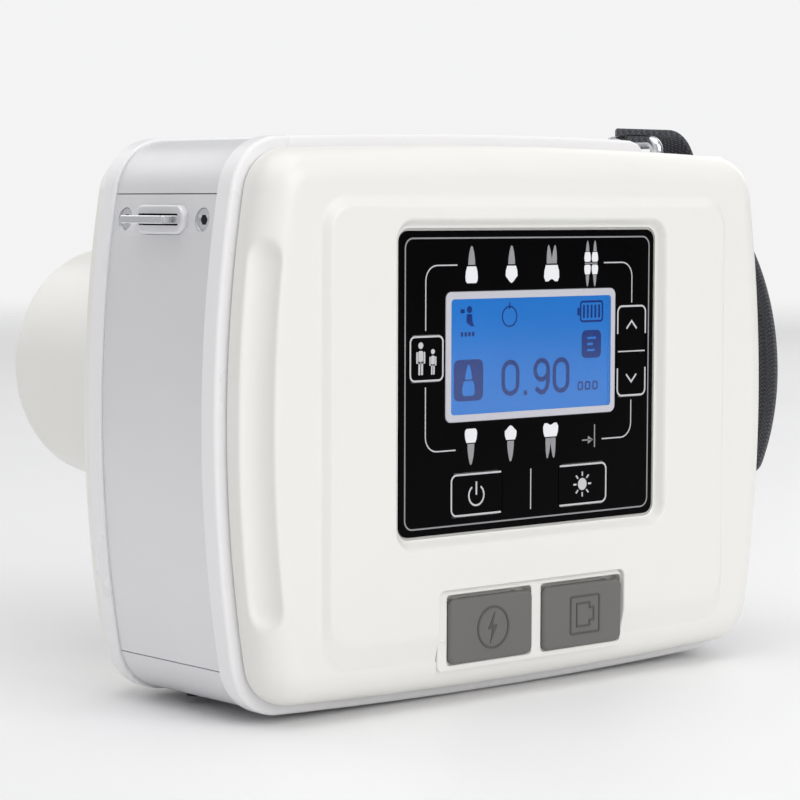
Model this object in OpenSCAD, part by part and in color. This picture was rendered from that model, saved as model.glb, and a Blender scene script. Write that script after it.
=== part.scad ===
// Handheld intraoral x-ray unit: a camera-like body in three layers, with a round beam cone,
// a control label with keys, two sealed ports, an exposure button and a hand strap.
// +Y is the way the beam leaves, +X is the strap side and +Z is up.
// The origin is on the surface it stands on, under the middle of the whole unit.

/* [Body] */
// Width of the body across its bowed sides
body_w = 201.6; // [198:0.2:206]
// Height of the body without its feet
body_h = 153.5; // [152:0.5:156]
// Radius of each bowed side
side_r = 356; // [320:2:420]
// Radius of the slightly crowned top and bottom
crown_r = 2000; // [1600:100:2600]
// Radius of the four corners
corner_r = 16; // [14:0.5:18]
// Depth of the silver frame between the two flanges
band_d = 45; // [44:0.5:46]
// Depth of each white flange
flange_d = 6; // [5.5:0.5:6.5]
// Depth of a cover from its flange to its outer face
cover_d = 12.2; // [12:0.1:13]
// Clearance under the middle of the body, which the rubber feet hold off the table
foot_h = 0.4; // [0.3:0.1:1]

/* [Rear face] */
// Height of the raised panel above the outer face
plateau_h = 1.8; // [1.5:0.1:2]
// Width of the control label
label_w = 95.7; // [95.2:0.1:96]
// Height of the control label
label_h = 81; // [80.6:0.1:81.4]
// Centre of the label, across and above the middle of the body
label_at = [-1, 10.2];
// Travel of a label key
key_travel = 0.4; // [0.3:0.05:0.5]

/* [Beam cone] */
// Outer diameter of the cone
cone_od = 71; // [70:0.5:72]
// Centre of the cone, across and above the middle of the body
cone_at = [-30, 8.5];
// Distance from the middle of the frame to the open end of the cone
cone_end_y = 120; // [110:1:130]

/* [Strap] */
// Width of the padded part of the hand strap
pad_w = 35; // [33:1:36]
// Width of the webbing
web_w = 15; // [14:0.5:18]
// Farthest reach of the strap from the middle of the body
strap_reach = 129; // [126:0.5:132]

/* [Controls] */
// Travel of the exposure button
shot_travel = 1.6; // [1:0.1:1.8]

/* [Hidden] */

$fn = 64;
shell_w = "#f1f0eb";
silver = "#c4c5c7";
steel = "#b8bcc2";
rubber = "#6f6f6b";
board_green = "#2d6a45";
fabric = "#3b3c40";
label_black = "#0b0a0b";

zc = foot_h + body_h / 2;            // height of the middle of the body
band_y = band_d / 2;
flange_y = band_y + flange_d;        // outer face of a flange
face_y = flange_y + cover_d;         // outer face of a cover, as a distance from the middle
plateau_y = face_y + plateau_h;
wall = 2.5;
bevel_r = 9;                         // rounding round a cover's face
frame_wall = 3;
frame_inset = 0.8;                   // the silver frame sits this far inside the flanges
cover_inset = 3.2;
lip_inset = 6.4;                     // outside of the lip inside a flange
gap = 0.25;                          // clearance round a moving key
label_t = 0.8;
label_y = -40;                       // front of the label
inner_y = label_y + 1.8;             // inside of the rear cover's face

// ---- the body's outline: two bowed sides, a crowned top and bottom, four round corners ----
side_cx = body_w / 2 - side_r;
crown_cz = body_h / 2 - crown_r;
centres_d = norm([side_cx, crown_cz]);
arm_side = side_r - corner_r;
arm_crown = crown_r - corner_r;
along = (pow(arm_side, 2) - pow(arm_crown, 2) + pow(centres_d, 2)) / (2 * centres_d);
across = sqrt(pow(arm_side, 2) - pow(along, 2));
corner_cx = side_cx + (-side_cx * along - crown_cz * across) / centres_d;
corner_cz = (crown_cz * along - side_cx * across) / centres_d;
corner_a0 = atan2(corner_cz, corner_cx - side_cx);
corner_a1 = atan2(corner_cz - crown_cz, corner_cx);

function arc(cx, cz, r, a0, a1, steps) =
    [for (i = [1:steps]) let (a = a0 + (a1 - a0) * i / steps) [cx + r * cos(a), cz + r * sin(a)]];
function quarter(inset) = concat(
    [[side_cx + side_r - inset, 0]],
    arc(side_cx, 0, side_r - inset, 0, corner_a0, 4),
    arc(corner_cx, corner_cz, corner_r - inset, corner_a0, corner_a1, 8),
    arc(0, crown_cz, crown_r - inset, corner_a1, 90, 2));
function upper_half(q) = concat(q, [for (i = [len(q) - 2:-1:0]) [-q[i][0], q[i][1]]]);
function outline(inset) = let (h = upper_half(quarter(inset)))
    concat(h, [for (i = [len(h) - 2:-1:1]) [h[i][0], -h[i][1]]]);
function side_x(z) = side_cx + sqrt(pow(side_r, 2) - pow(z, 2));

// ---- helpers; flat shapes are drawn as [across, up] and stand in the X-Z plane ----
module prism(y0, y1) {
    translate([0, y1, zc]) rotate([90, 0, 0]) linear_extrude(y1 - y0) children();
}
module body_slab(inset, y0, y1) {
    prism(y0, y1) polygon(outline(inset));
}
module rounded(w, h, r) {
    union() {
        square([w - 2 * r, h], center = true);
        square([w, h - 2 * r], center = true);
        for (x = [-1, 1], z = [-1, 1]) translate([x * (w / 2 - r), z * (h / 2 - r)]) circle(r);
    }
}
module block(x, y, z) {
    translate([x[0], y[0], z[0] + zc]) cube([x[1] - x[0], y[1] - y[0], z[1] - z[0]]);
}
module rod_y(x, z, r, y0, y1) {
    translate([x, y0, z + zc]) rotate([-90, 0, 0]) cylinder(h = y1 - y0, r = r);
}
module rod_x(y, z, r, x0, x1) {
    translate([x0, y, z + zc]) rotate([0, 90, 0]) cylinder(h = x1 - x0, r = r);
}
module rod_z(x, y, r, z0, z1) {
    translate([x, y, z0 + zc]) cylinder(h = z1 - z0, r = r);
}
module ring_y(x, z, r_out, r_in, y0, y1) {
    difference() {
        rod_y(x, z, r_out, y0, y1);
        rod_y(x, z, r_in, y0 - 1, y1 + 1);
    }
}

// ---- places shared by several parts ----
seam_z = [-63.2, 60.3];
groove_r = 7;
groove_out = 14.1;                   // from the middle of the bevel's rounding to the groove's axis
groove_x = -(body_w / 2 - cover_inset - bevel_r) - groove_out * cos(45);
groove_y = -(face_y - bevel_r) - groove_out * sin(45);
groove_half = 44.5;
post_x = 72;
post_z = 55;
web_run = 22;                        // from a screw post out to the frame's corner
notch_x = 51;                        // where the strap notch starts, on top of the body
notch_z = 72.2;                      // floor of the strap notch
foot_x = 66;
foot_y = 13;
foot_r = 3.5;
base_screw_x = 79;
base_screw_y = 9.2;
foot_top_z = -body_h / 2 + 2.6;        // the feet are let into the frame up to here
screw_seat_z = -body_h / 2 + 2.9;      // flat under a base screw's head, relative to the body's middle
ring_r = 2;                          // radius of the strap rings' wire
ring_leg_y = 10.2;
ring_top = [79.3, 76.5];
web_t = 2;
pad_t = 4;
lug_z = 53.5;                        // height of the neck strap lug
lug_screw_y = 17;
lug_face_x = -side_x(lug_z) - 0.9;   // outer face of the lug's bezel
lug_out = 5.7;                       // how far the lug plate stands out of it
// moves the model so that its origin is under the middle of its outermost points
home = [-(strap_reach + lug_face_x - lug_out) / 2, -(cone_end_y - plateau_y) / 2, 0];
bezel_back_x = lug_face_x + 2.4;
screw_seat_x = lug_face_x + 2.6;
shot_at = [62, 34];                  // exposure button on the front cover
recess_w = 70;                       // recess that holds the two port flaps
recess_r = 1.8;
recess_h = 22;
recess_at = [-1.4, -56.4];
plug_h = 17.8;
plug_z = -56.7;
plug_skin = 1.5;
plug_front_y = -42.3;
hinge_y = plug_front_y + 1.7;
hinge_z = plug_z + plug_h / 2 - 0.9; // the flaps hang from their top edges
pintle_r = 0.5;
lug_r = 0.9;                         // the tray's hinge lugs, round the pintles
lug_half = 0.8;                      // half their width
rim_y = -41.2;                       // front of the tray's rim round the flaps
tray_y = inner_y;                    // face of the tray behind the flaps
jack_y = tray_y + 2.45;

// label places: from the label's upper left corner, right and down
function on_label(s, d) = [label_at[0] - label_w / 2 + s, label_at[1] + label_h / 2 - d];
lcd_at = on_label(48.3, 33.8);
lcd_w = 64.3;
lcd_h = 35;
view_w = 61.2;
view_h = 31.7;
patient_at = on_label(9.4, 33.8);
up_at = on_label(87.05, 27.85);
down_at = on_label(87.05, 40.85);
power_at = on_label(27.5, 71);
light_at = on_label(68.05, 71);
patient_size = [12, 12.2];
arrow_size = [11.7, 12.6];
wide_size = [18.8, 11.6];
KEYS = [[patient_at, patient_size], [up_at, arrow_size], [down_at, arrow_size],
        [power_at, wide_size], [light_at, wide_size]];

module strap_notch(y0, y1) {
    drop = body_h / 2 + 2 - notch_z;
    prism(y0, y1) polygon([[notch_x - 2, body_h / 2 + 2], [notch_x - 2 + drop, notch_z],
                           [body_w / 2, notch_z], [body_w / 2, body_h / 2 + 2]]);
}

// ---- housing ----
module mid_frame() color(silver) difference() {
    union() {
        difference() {
            body_slab(frame_inset, -band_y, band_y);
            body_slab(frame_inset + frame_wall, -band_y - 1, band_y + 1);
        }
        for (x = [-1, 1], z = [-1, 1]) {
            rod_y(x * post_x, z * post_z, 4.5, -band_y, band_y);
            translate([x * post_x, 0, z * post_z + zc]) rotate([0, -x * z * 52, 0])
                translate([x > 0 ? 0 : -web_run, -band_y, -1.5]) cube([web_run, band_d, 3]);
        }
        intersection() {
            block([notch_x - 3, 90], [-band_y, band_y], [66, body_h / 2]);
            body_slab(frame_inset, -band_y, band_y);
        }
        intersection() {
            block([88, 102], [-band_y, band_y], [-49, -37]);
            body_slab(frame_inset, -band_y, band_y);
        }
    }
    for (x = [-1, 1], z = [-1, 1]) rod_y(x * post_x, z * post_z, 1.7, -band_y - 1, band_y + 1);
    block([-110, -85], [-band_y - 1, band_y + 1], [seam_z[0] - 0.15, seam_z[1] + 0.15]);
    strap_notch(-band_y - 1, band_y + 1);
    for (x = [-base_screw_x, base_screw_x]) {
        rod_z(x, base_screw_y, 2.7, -80, screw_seat_z);
        rod_z(x, base_screw_y, 1.3, -80, -60);
    }
    for (x = [-foot_x, foot_x], y = [-foot_y, foot_y]) rod_z(x, y, foot_r + 0.02, -80, foot_top_z + 0.02);
    for (y = [-1, 1]) {
        rod_z(ring_top[0], y * ring_leg_y, ring_r + 0.05, 67.4, 80);
        rod_x(y * ring_leg_y, ring_low[1], ring_r + 0.05, 91.4, 110);
    }
}

module side_panel() color(silver) difference() {
    intersection() {
        difference() {
            body_slab(frame_inset, -band_y, band_y);
            body_slab(frame_inset + 2.5, -band_y - 1, band_y + 1);
        }
        block([-110, -60], [-band_y, band_y], [seam_z[0] + 0.15, seam_z[1] - 0.15]);
    }
    side_prism(-110, -80) rounded(20.2, 6.2, 3);
    side_prism(-110, bezel_back_x) rounded(21.8, 7.9, 3.9);
    for (y = [-1, 1]) {
        rod_x(y * lug_screw_y, lug_z, 1.7, -110, -80);
        rod_x(y * lug_screw_y, lug_z, 3.1, -110, screw_seat_x);
        translate([screw_seat_x, y * lug_screw_y, lug_z + zc]) rotate([0, 90, 0])
            cylinder(h = 1.4, r1 = 3.1, r2 = 1.7);
    }
}

module flange(side) {
    y0 = side < 0 ? -flange_y : band_y;
    y1 = y0 + flange_d;
    difference() {
        union() {
            body_slab(0, y0 + 1, y1 - 1);
            body_slab(0.5, y0, y1);
        }
        body_slab(6.2, y0 - 1, y1 + 1);
        strap_notch(y0 - 1, y1 + 1);
    }
}
module rear_flange() color("#e2e1e8") flange(-1);
module front_flange() color("#e2e1e8") flange(1);

// A cover's rounded shell, drawn for the rear and mirrored for the front.
module dome(inset, face, base, round_r) {
    slices = [for (a = [0:15:90]) [inset + round_r * (1 - cos(a)), face + round_r * (1 - sin(a))]];
    hull() {
        body_slab(inset - 0.3, base - 0.05, base);
        for (s = slices) body_slab(s[0], s[1], s[1] + 0.05);
        body_slab(inset - 0.3, base - 0.1, base - 0.05);
    }
}
module cover_shell() {
    difference() {
        dome(cover_inset, -face_y, -flange_y, bevel_r);
        dome(cover_inset + wall, inner_y, -flange_y + 0.2, bevel_r - 2);
    }
    // a lip inside the flange lines the cover up with it
    difference() {
        union() {
            body_slab(4.5, -flange_y - 3, -flange_y);
            body_slab(lip_inset, -flange_y, -flange_y + 4);
        }
        body_slab(lip_inset + 2.2, -flange_y - 4, -flange_y + 5);
    }
}
module plateau() {
    hull() {
        translate([0, 0, -1.8]) prism(-face_y, -face_y + 0.3) rounded(152, 123.5, 9);
        prism(-plateau_y, -plateau_y + 0.05) rounded(148, 114, 7);
    }
}
module cover_bosses(y0, y1) {
    for (x = [-1, 1], z = [-1, 1]) rod_y(x * post_x, z * post_z, 4.5, y0, y1);
}

module rear_cover() color(shell_w) difference() {
    union() {
        cover_shell();
        plateau();
        intersection() {
            cover_bosses(-face_y + 1, -band_y);
            body_slab(6, -face_y, 0);
        }
    }
    cover_cuts();
}
module cover_cuts() {
    translate([label_at[0], 0, label_at[1]]) {
        prism(-50, label_y + label_t) rounded(label_w + 1.4, label_h + 1.4, 3.5);
        hull() {
            prism(label_y + 0.1, label_y + 0.2) rounded(label_w + 1.4, label_h + 1.4, 3.5);
            prism(-plateau_y - 0.2, -plateau_y - 0.1) rounded(label_w + 7, label_h + 7, 6);
        }
    }
    for (k = KEYS) translate([k[0][0], 0, k[0][1]])
        prism(-50, -30) rounded(k[1][0] + 2 * gap, k[1][1] + 2 * gap, 1.8);
    translate([lcd_at[0], 0, lcd_at[1]]) prism(-50, -30) rounded(lcd_w + 0.3, lcd_h + 0.3, 2);
    translate([recess_at[0], 0, recess_at[1]]) prism(-50, -30) rounded(recess_w, recess_h, recess_r);
    for (x = [-1, 1], z = [-1, 1]) rod_y(x * post_x, z * post_z, 1.3, -face_y + 4, 0);
    // thumb groove along the bevel on the left
    translate([groove_x, groove_y, 0]) {
        rod_z(0, 0, groove_r, -groove_half - 0.8, groove_half - 0.8);
        for (z = [-1, 1]) translate([0, 0, z * groove_half - 0.8 + zc]) sphere(groove_r, $fn = 96);
    }
}

module front_cover() color(shell_w) difference() {
    union() {
        mirror([0, 1, 0]) cover_shell();
        intersection() {
            cover_bosses(band_y, face_y - 1);
            body_slab(6, 0, face_y);
        }
        rod_y(shot_at[0], shot_at[1], 11, face_y - 3, face_y);
    }
    rod_y(cone_at[0], cone_at[1], cone_od / 2 + root_extra + 0.1, 20, 60);
    rod_y(shot_at[0], shot_at[1], 8.1, 20, 60);
    for (x = [-1, 1], z = [-1, 1]) {
        rod_y(x * post_x, z * post_z, 1.7, 0, 60);
        rod_y(x * post_x, z * post_z, 3.2, face_y - 3.6, 60);
    }
}

module housing_screws() color(steel)
    for (x = [-1, 1], z = [-1, 1]) difference() {
        union() {
            rod_y(x * post_x, z * post_z, 1.28, -face_y + 6, face_y - 3.7);
            rod_y(x * post_x, z * post_z, 2.9, face_y - 3.6, face_y - 1.6);
            rod_y(x * post_x, z * post_z, 1.6, -band_y + 0.1, face_y - 3.5);
        }
        prism(face_y - 2.9, face_y) translate([x * post_x, z * post_z]) circle(1.4, $fn = 6);
    }

// ---- beam cone and tube ----
root_extra = 0.6;                    // the cone's root is this much bigger in radius, inside its collar
root_end = face_y + 4.2;
module cone() color(shell_w) {
    at = [cone_at[0], 0, cone_at[1] + zc];
    r = cone_od / 2;
    inner = r - 3.2;
    translate(at) rotate([-90, 0, 0]) rotate_extrude($fn = 120) union() {
        translate([inner, 36]) square([3.2, cone_end_y - 2 - 36]);
        translate([inner, cone_end_y - 2.01]) square([1.2, 2.01]);
        translate([r - 2, cone_end_y - 2]) circle(2);
        // a thicker root, held by a rim behind the front cover
        translate([inner, 36]) square([3.2 + root_extra, root_end - 36]);
        translate([r - 3, 36]) square([6, 2.1]);
    }
}
module cone_liner() color("#8f9296") {
    ring_y(cone_at[0], cone_at[1], cone_od / 2 - 3.3, cone_od / 2 - 4.9, 36, cone_end_y - 6);
}
module cone_collar() color(shell_w)
    translate([cone_at[0], 0, cone_at[1] + zc]) rotate([-90, 0, 0]) rotate_extrude($fn = 120) union() {
        translate([cone_od / 2 + root_extra + 0.1, face_y]) square([4.8, 2.5]);
        translate([cone_od / 2 + root_extra + 0.1, face_y]) square([3.3, 4]);
        translate([cone_od / 2 + 4, face_y + 2.5]) circle(1.5);
    }
module beam_diaphragm() color("#6d7176") difference() {
    rod_y(cone_at[0], cone_at[1], 30, 33, 35.8);
    rod_y(cone_at[0], cone_at[1], 9.5, 20, 50);
}
module beam_filter() color(silver) rod_y(cone_at[0], cone_at[1], 11, 30.9, 32.9);

tank_x = [-62, 2];
tank_y = [-20, 30];
tank_z = [-30, 50];
module tube_tank() color(silver) difference() {
    block(tank_x, tank_y, tank_z);
    block([tank_x[0] + 3, tank_x[1] - 3], [tank_y[0] - 1, tank_y[1] - 3], [tank_z[0] + 3, tank_z[1] - 3]);
    rod_y(cone_at[0], cone_at[1], 10, 0, 40);
    for (x = [tank_x[0] + 1.5, tank_x[1] - 1.5], z = [-20, 0, 20, 40]) rod_y(x, z, 0.6, tank_y[0] - 1, 0);
}
module tank_lid() color(steel) difference() {
    block(tank_x, [tank_y[0] - 2.1, tank_y[0] - 0.05], tank_z);
    for (x = [tank_x[0] + 1.5, tank_x[1] - 1.5], z = [-20, 0, 20, 40]) rod_y(x, z, 0.7, -30, 0);
}
tube_y = 6;
tube_z = cone_at[1];
module tube_envelope() color("#cfe4ee", 0.5)
    translate([cone_at[0], tube_y, tube_z + zc]) rotate_extrude() difference() {
        union() {
            square([15, 52], center = true);
            translate([7.5, 0]) square([15, 52], center = true);
        }
        translate([-20, -40]) square([20, 80]);
        translate([-1, -24.5]) square([14.5, 49]);
        translate([-1, -30]) square([5, 60]);
    }
module tube_anode() color("#b87333") translate([cone_at[0], tube_y, tube_z + zc]) difference() {
    union() {
        translate([0, 0, 2]) cylinder(h = 20, r = 7);
        translate([0, 0, 20]) cylinder(h = 12, r = 3.8);
    }
    translate([0, 12, -1]) rotate([20, 0, 0]) cube([20, 20, 20], center = true);
}
module tube_cathode() color(steel) translate([cone_at[0], tube_y, tube_z + zc]) difference() {
    union() {
        translate([0, 0, -20]) cylinder(h = 14, r = 8);
        translate([0, 0, -31]) cylinder(h = 12, r = 3.8);
    }
    translate([0, 0, -8]) cylinder(h = 4, r = 4);
}

// ---- power and electronics ----
module hv_transformer() color("#8a5a34") {
    difference() {
        block([-58, -22], [-14, 18], [-66, -34]);
        block([-50, -30], [-15, 19], [-59, -41]);
    }
    block([-49.9, -44], [-18, 22], [-58.9, -41.1]);
    block([-36, -30.1], [-18, 22], [-58.9, -41.1]);
}
module chassis() color(steel) difference() {
    union() {
        block([3, 5], [-20, 24], [-60, 52]);
        block([5, 60], [22, 24], [-60, 52]);
        block([-62, 3], [22, 24], [-68, -32]);
    }
    for (x = [15, 50], z = [-50, 44]) rod_y(x, z, 1.6, 0, 40);
    for (z = [-50, 44]) rod_x(0, z, 1.6, 0, 8);
}
module battery_cells() color("#3f74a8")
    for (x = [0, 1], y = [0, 1]) rod_z(17.5 + 19.6 * x, -10.4 + 19.6 * y, 9.2, -52, 13);
module battery_holder() color("#2f3236") difference() {
    block([6, 48.5], [-21.5, 20.7], [-56, 17]);
    block([8, 46.5], [-23, 18.9], [-54.1, 15.1]);
}
module hv_board() color(board_green) {
    block([-20, -18.4], [-16, 20], [-66, -34]);
    block([-18.35, -8], [-10, 12], [-60, -40]);
}
module main_board() color(board_green) {
    difference() {
        block([-60, 58], [-26, -24.4], [-40, 52]);
        for (x = [-55, 53], z = [-35, 47]) rod_y(x, z, 1.6, -40, 0);
    }
    block([-12, 8], [-27.6, -26], [-12, 8]);
    block([22, 36], [-27.3, -26], [20, 30]);
    block([-46, -30], [-28.4, -26], [-34, -26]);
}
board_y = -36.6;
module keypad_board() color(board_green) difference() {
    translate([label_at[0], 0, label_at[1]]) prism(board_y, board_y + 1.2) rounded(104, 88, 3);
    translate([lcd_at[0], 0, lcd_at[1]]) prism(-50, -30) rounded(lcd_w + 1, lcd_h + 2, 1);
}
module dome_switches() color(steel) for (k = KEYS)
    translate([k[0][0], 0, k[0][1]]) {
        prism(board_y - 0.9, board_y) square([6, 6], center = true);
        rod_y(0, 0, 1.7, board_y - 1.1, board_y - 0.9);
    }
module lcd_module() color(silver) translate([lcd_at[0], 0, lcd_at[1]]) {
    difference() {
        prism(-38.1, -31) rounded(64, 35.6, 1);
        prism(-40, -37.2) square([view_w - 1, view_h - 1], center = true);
    }
    prism(-31, -29.4) square([74, 44], center = true);
}
module lcd_screen() color("#387dc8") translate([lcd_at[0], 0, lcd_at[1]])
    prism(-38.9, -38.15) rounded(view_w - 0.2, view_h - 0.2, 1.2);
module lcd_bezel() color("#cdcdd4") translate([lcd_at[0], 0, lcd_at[1]]) difference() {
    prism(label_y - 0.15, -38.15) rounded(lcd_w, lcd_h, 2);
    prism(-50, -30) rounded(view_w, view_h, 1.4);
}
module lcd_window() color("#dfe9f2", 0.4) translate([lcd_at[0], 0, lcd_at[1]])
    prism(label_y + 0.1, label_y + 0.9) rounded(view_w - 0.2, view_h - 0.2, 1.3);
module control_label() color(label_black) difference() {
    translate([label_at[0], 0, label_at[1]]) prism(label_y, label_y + label_t - 0.02)
        rounded(label_w, label_h, 3);
    for (k = KEYS) translate([k[0][0], 0, k[0][1]])
        prism(-50, -30) rounded(k[1][0] + 2 * gap, k[1][1] + 2 * gap, 1.8);
    translate([lcd_at[0], 0, lcd_at[1]]) prism(-50, -30) rounded(lcd_w + 0.3, lcd_h + 0.3, 2);
}
module label_key(k) color(label_black) translate([k[0][0], 0, k[0][1]]) {
    prism(label_y, label_y + 1.7) rounded(k[1][0], k[1][1], 1.6);
    rod_y(0, 0, 2, label_y + 1.6, board_y - 1.1 - key_travel - 0.02);
}
module patient_key() label_key(KEYS[0]);
module up_key() label_key(KEYS[1]);
module down_key() label_key(KEYS[2]);
module power_key() label_key(KEYS[3]);
module light_key() label_key(KEYS[4]);
module buzzer() color("#222428") difference() {
    rod_y(64, -30, 8, -33, -26);
    rod_y(64, -30, 1.2, -34, -31);
}

// ---- ports and their hinged rubber flaps ----
plug_left = [-32.8, -1.9];
plug_right = [2.1, 33];
jack_l = -17.4;
jack_r = 17.5;
hinge_lugs = [for (x = [plug_left, plug_right]) for (e = [x[0] + 3.6, x[1] - 3.6]) e];
module port_tray() color(shell_w) difference() {
    union() {
        translate([recess_at[0], 0, recess_at[1]]) difference() {
            prism(rim_y, tray_y + 2.4) rounded(recess_w - 0.4, recess_h - 0.4, recess_r - 0.2);
            for (x = [plug_left, plug_right]) pocket(x);
        }
        translate([recess_at[0], 0, recess_at[1] + 1.3]) prism(tray_y + 1.1, tray_y + 2.4)
            rounded(recess_w + 4, recess_h, recess_r);
        for (x = hinge_lugs) {
            block([x - lug_half, x + lug_half], [hinge_y, tray_y + 0.5], [hinge_z - lug_r, hinge_z + lug_r]);
            rod_x(hinge_y, hinge_z, lug_r, x - lug_half, x + lug_half);
        }
    }
    rod_y(jack_l, plug_z, 5.2, -45, -20);
    translate([jack_r, 0, plug_z]) prism(-45, -20) square([14, 10], center = true);
    for (x = hinge_lugs) rod_x(hinge_y, hinge_z, pintle_r + 0.05, x - 1, x + 1);
}
// the room for one flap, with more above it for its top edge to swing through
module pocket(x) {
    low = plug_z - plug_h / 2 - 0.35 - recess_at[1];
    high = plug_z + plug_h / 2 + 1.2 - recess_at[1];
    left = x[0] - 0.35 - recess_at[0];
    right = x[1] + (x[1] > 30 ? 2 : 0.35) - recess_at[0];
    translate([(left + right) / 2, 0, (low + high) / 2])
        prism(-50, tray_y) rounded(right - left, high - low, 1.2);
}
// a rubber flap: its skin, and a pintle moulded into the back of its top edge
module flap(x) {
    difference() {
        union() {
            translate([(x[0] + x[1]) / 2, 0, plug_z]) prism(plug_front_y, plug_front_y + plug_skin)
                rounded(x[1] - x[0], plug_h, 2.2);
            rod_x(hinge_y, hinge_z, lug_r, x[0] + 2.5, x[1] - 2.5);
        }
        for (e = [x[0] + 3.6, x[1] - 3.6]) block([e - lug_half - 0.25, e + lug_half + 0.25],
            [hinge_y - lug_r - 0.25, -30], [hinge_z - lug_r - 0.3, hinge_z + 3]);
    }
    rod_x(hinge_y, hinge_z, pintle_r, x[0] + 2.6, x[1] - 2.6);
}
module charge_plug() color(rubber) union() {
    flap(plug_left);
    rod_y(jack_l, plug_z, 4.2, plug_front_y + 1.2, tray_y + 1.1);
}
module switch_plug() color(rubber) union() {
    flap(plug_right);
    translate([jack_r, 0, plug_z]) prism(plug_front_y + 1.2, tray_y + 1.1) square([11.4, 7.6], center = true);
}
module charge_jack() color("#1d1d1f") difference() {
    translate([jack_l, 0, plug_z]) prism(jack_y, jack_y + 12.5) square([12, 11], center = true);
    ring_y(jack_l, plug_z, 3.2, 1.1, tray_y, jack_y + 9.5);
}
module switch_jack() color("#1d1d1f") difference() {
    translate([jack_r, 0, plug_z]) prism(jack_y, jack_y + 13.5) square([16, 13], center = true);
    translate([jack_r, 0, plug_z]) prism(tray_y, jack_y + 11.5) square([12, 7], center = true);
    translate([jack_r, 0, plug_z + 3.4]) prism(tray_y, jack_y + 11.5) square([4, 3], center = true);
}

// ---- exposure button, under the first finger on the front ----
shot_top = face_y + 2.2;
module exposure_ring() color(silver) {
    ring_y(shot_at[0], shot_at[1], 8, 6.6, face_y - 3.5, face_y + 0.5);
    ring_y(shot_at[0], shot_at[1], 9.6, 6.6, face_y, face_y + 1);
}
module exposure_button() color("#d9822b") {
    rod_y(shot_at[0], shot_at[1], 6.2, face_y - 2.6, shot_top);
    rod_y(shot_at[0], shot_at[1], 7.6, face_y - 5.3, face_y - 3.6);
    rod_y(shot_at[0], shot_at[1], 3, face_y - 5.3, face_y - 2.5);
    rod_y(shot_at[0], shot_at[1], 1.6, face_y - 7.6, face_y - 5.2);
}
// A round wire wound on a helix, from the switch up to the button.
spring_wire = 0.35;
spring_coil = 5;
spring_turns = 4;
spring_steps = 22;                   // rings in one turn
spring_sides = 8;
spring_y = [face_y - 11.2 + 0.4, face_y - 5.3 - 0.4];
function wire_ring(i) = let (
        turn = 360 * i / spring_steps,
        y = spring_y[0] + (spring_y[1] - spring_y[0]) * i / (spring_turns * spring_steps))
    [for (k = [0:spring_sides - 1]) let (
        a = 360 * k / spring_sides, r = spring_coil + spring_wire * cos(a))
        [r * cos(turn), y + spring_wire * sin(a), -r * sin(turn)]];
module exposure_spring() color(steel) {
    rings = spring_turns * spring_steps;
    points = [for (i = [0:rings]) for (p = wire_ring(i)) p];
    skin = [for (i = [0:rings - 1]) for (k = [0:spring_sides - 1])
        let (n = (k + 1) % spring_sides, a = i * spring_sides)
        [a + k, a + n, a + spring_sides + n, a + spring_sides + k]];
    caps = [[for (k = [spring_sides - 1:-1:0]) k],
            [for (k = [0:spring_sides - 1]) rings * spring_sides + k]];
    translate([shot_at[0], 0, shot_at[1] + zc])
        polyhedron(points, concat(skin, caps), convexity = 6);
}
module exposure_switch() color("#1d1d1f") {
    block([shot_at[0] - 7, shot_at[0] + 7], [24.1, face_y - 11.2], [shot_at[1] - 7, shot_at[1] + 7]);
    rod_y(shot_at[0], shot_at[1], 1.5, face_y - 11.3, face_y - 7.6 - shot_travel - 0.1);
}

// ---- neck strap lug ----
module side_prism(x0, x1) {
    translate([x0, 0, lug_z + zc]) rotate([90, 0, 90]) linear_extrude(x1 - x0) children();
}
module lug_bezel() color(silver) difference() {
    union() {
        side_prism(lug_face_x, bezel_back_x) rounded(21.6, 7.7, 3.7);
        side_prism(lug_face_x + 1, lug_face_x + 5.2) rounded(20, 6, 2.8);
    }
    side_prism(lug_face_x - 1, lug_face_x + 9) rounded(19.3, 3.2, 1);
}
module neck_strap_lug() color(steel) difference() {
    union() {
        block([lug_face_x - lug_out, lug_face_x + 6], [-9.5, 9.5], [lug_z - 1.05, lug_z + 1.05]);
        block([lug_face_x + 5.4, lug_face_x + 7], [-21, 21], [lug_z - 5, lug_z + 5]);
    }
    translate([lug_face_x - 3.1, 0, 0]) {
        block([-1.3, 1.3], [-6, 6], [lug_z - 2, lug_z + 2]);
        for (y = [-6, 6]) rod_z(0, y, 1.3, lug_z - 2, lug_z + 2);
    }
    for (y = [-1, 1]) rod_x(y * lug_screw_y, lug_z, 1.3, -100, -70);
}
module panel_screws() color(steel) for (y = [-1, 1]) difference() {
    union() {
        rod_x(y * lug_screw_y, lug_z, 1.25, screw_seat_x + 0.5, lug_face_x + 8.5);
        rod_x(y * lug_screw_y, lug_z, 2.9, screw_seat_x - 0.3, screw_seat_x);
        translate([screw_seat_x, y * lug_screw_y, lug_z + zc]) rotate([0, 90, 0])
            cylinder(h = 1.3, r1 = 2.9, r2 = 1.25);
    }
    translate([screw_seat_x - 1, y * lug_screw_y, lug_z + zc]) rotate([0, 90, 0])
        cylinder(h = 1.8, r = 1.25, $fn = 6);
}

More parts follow.
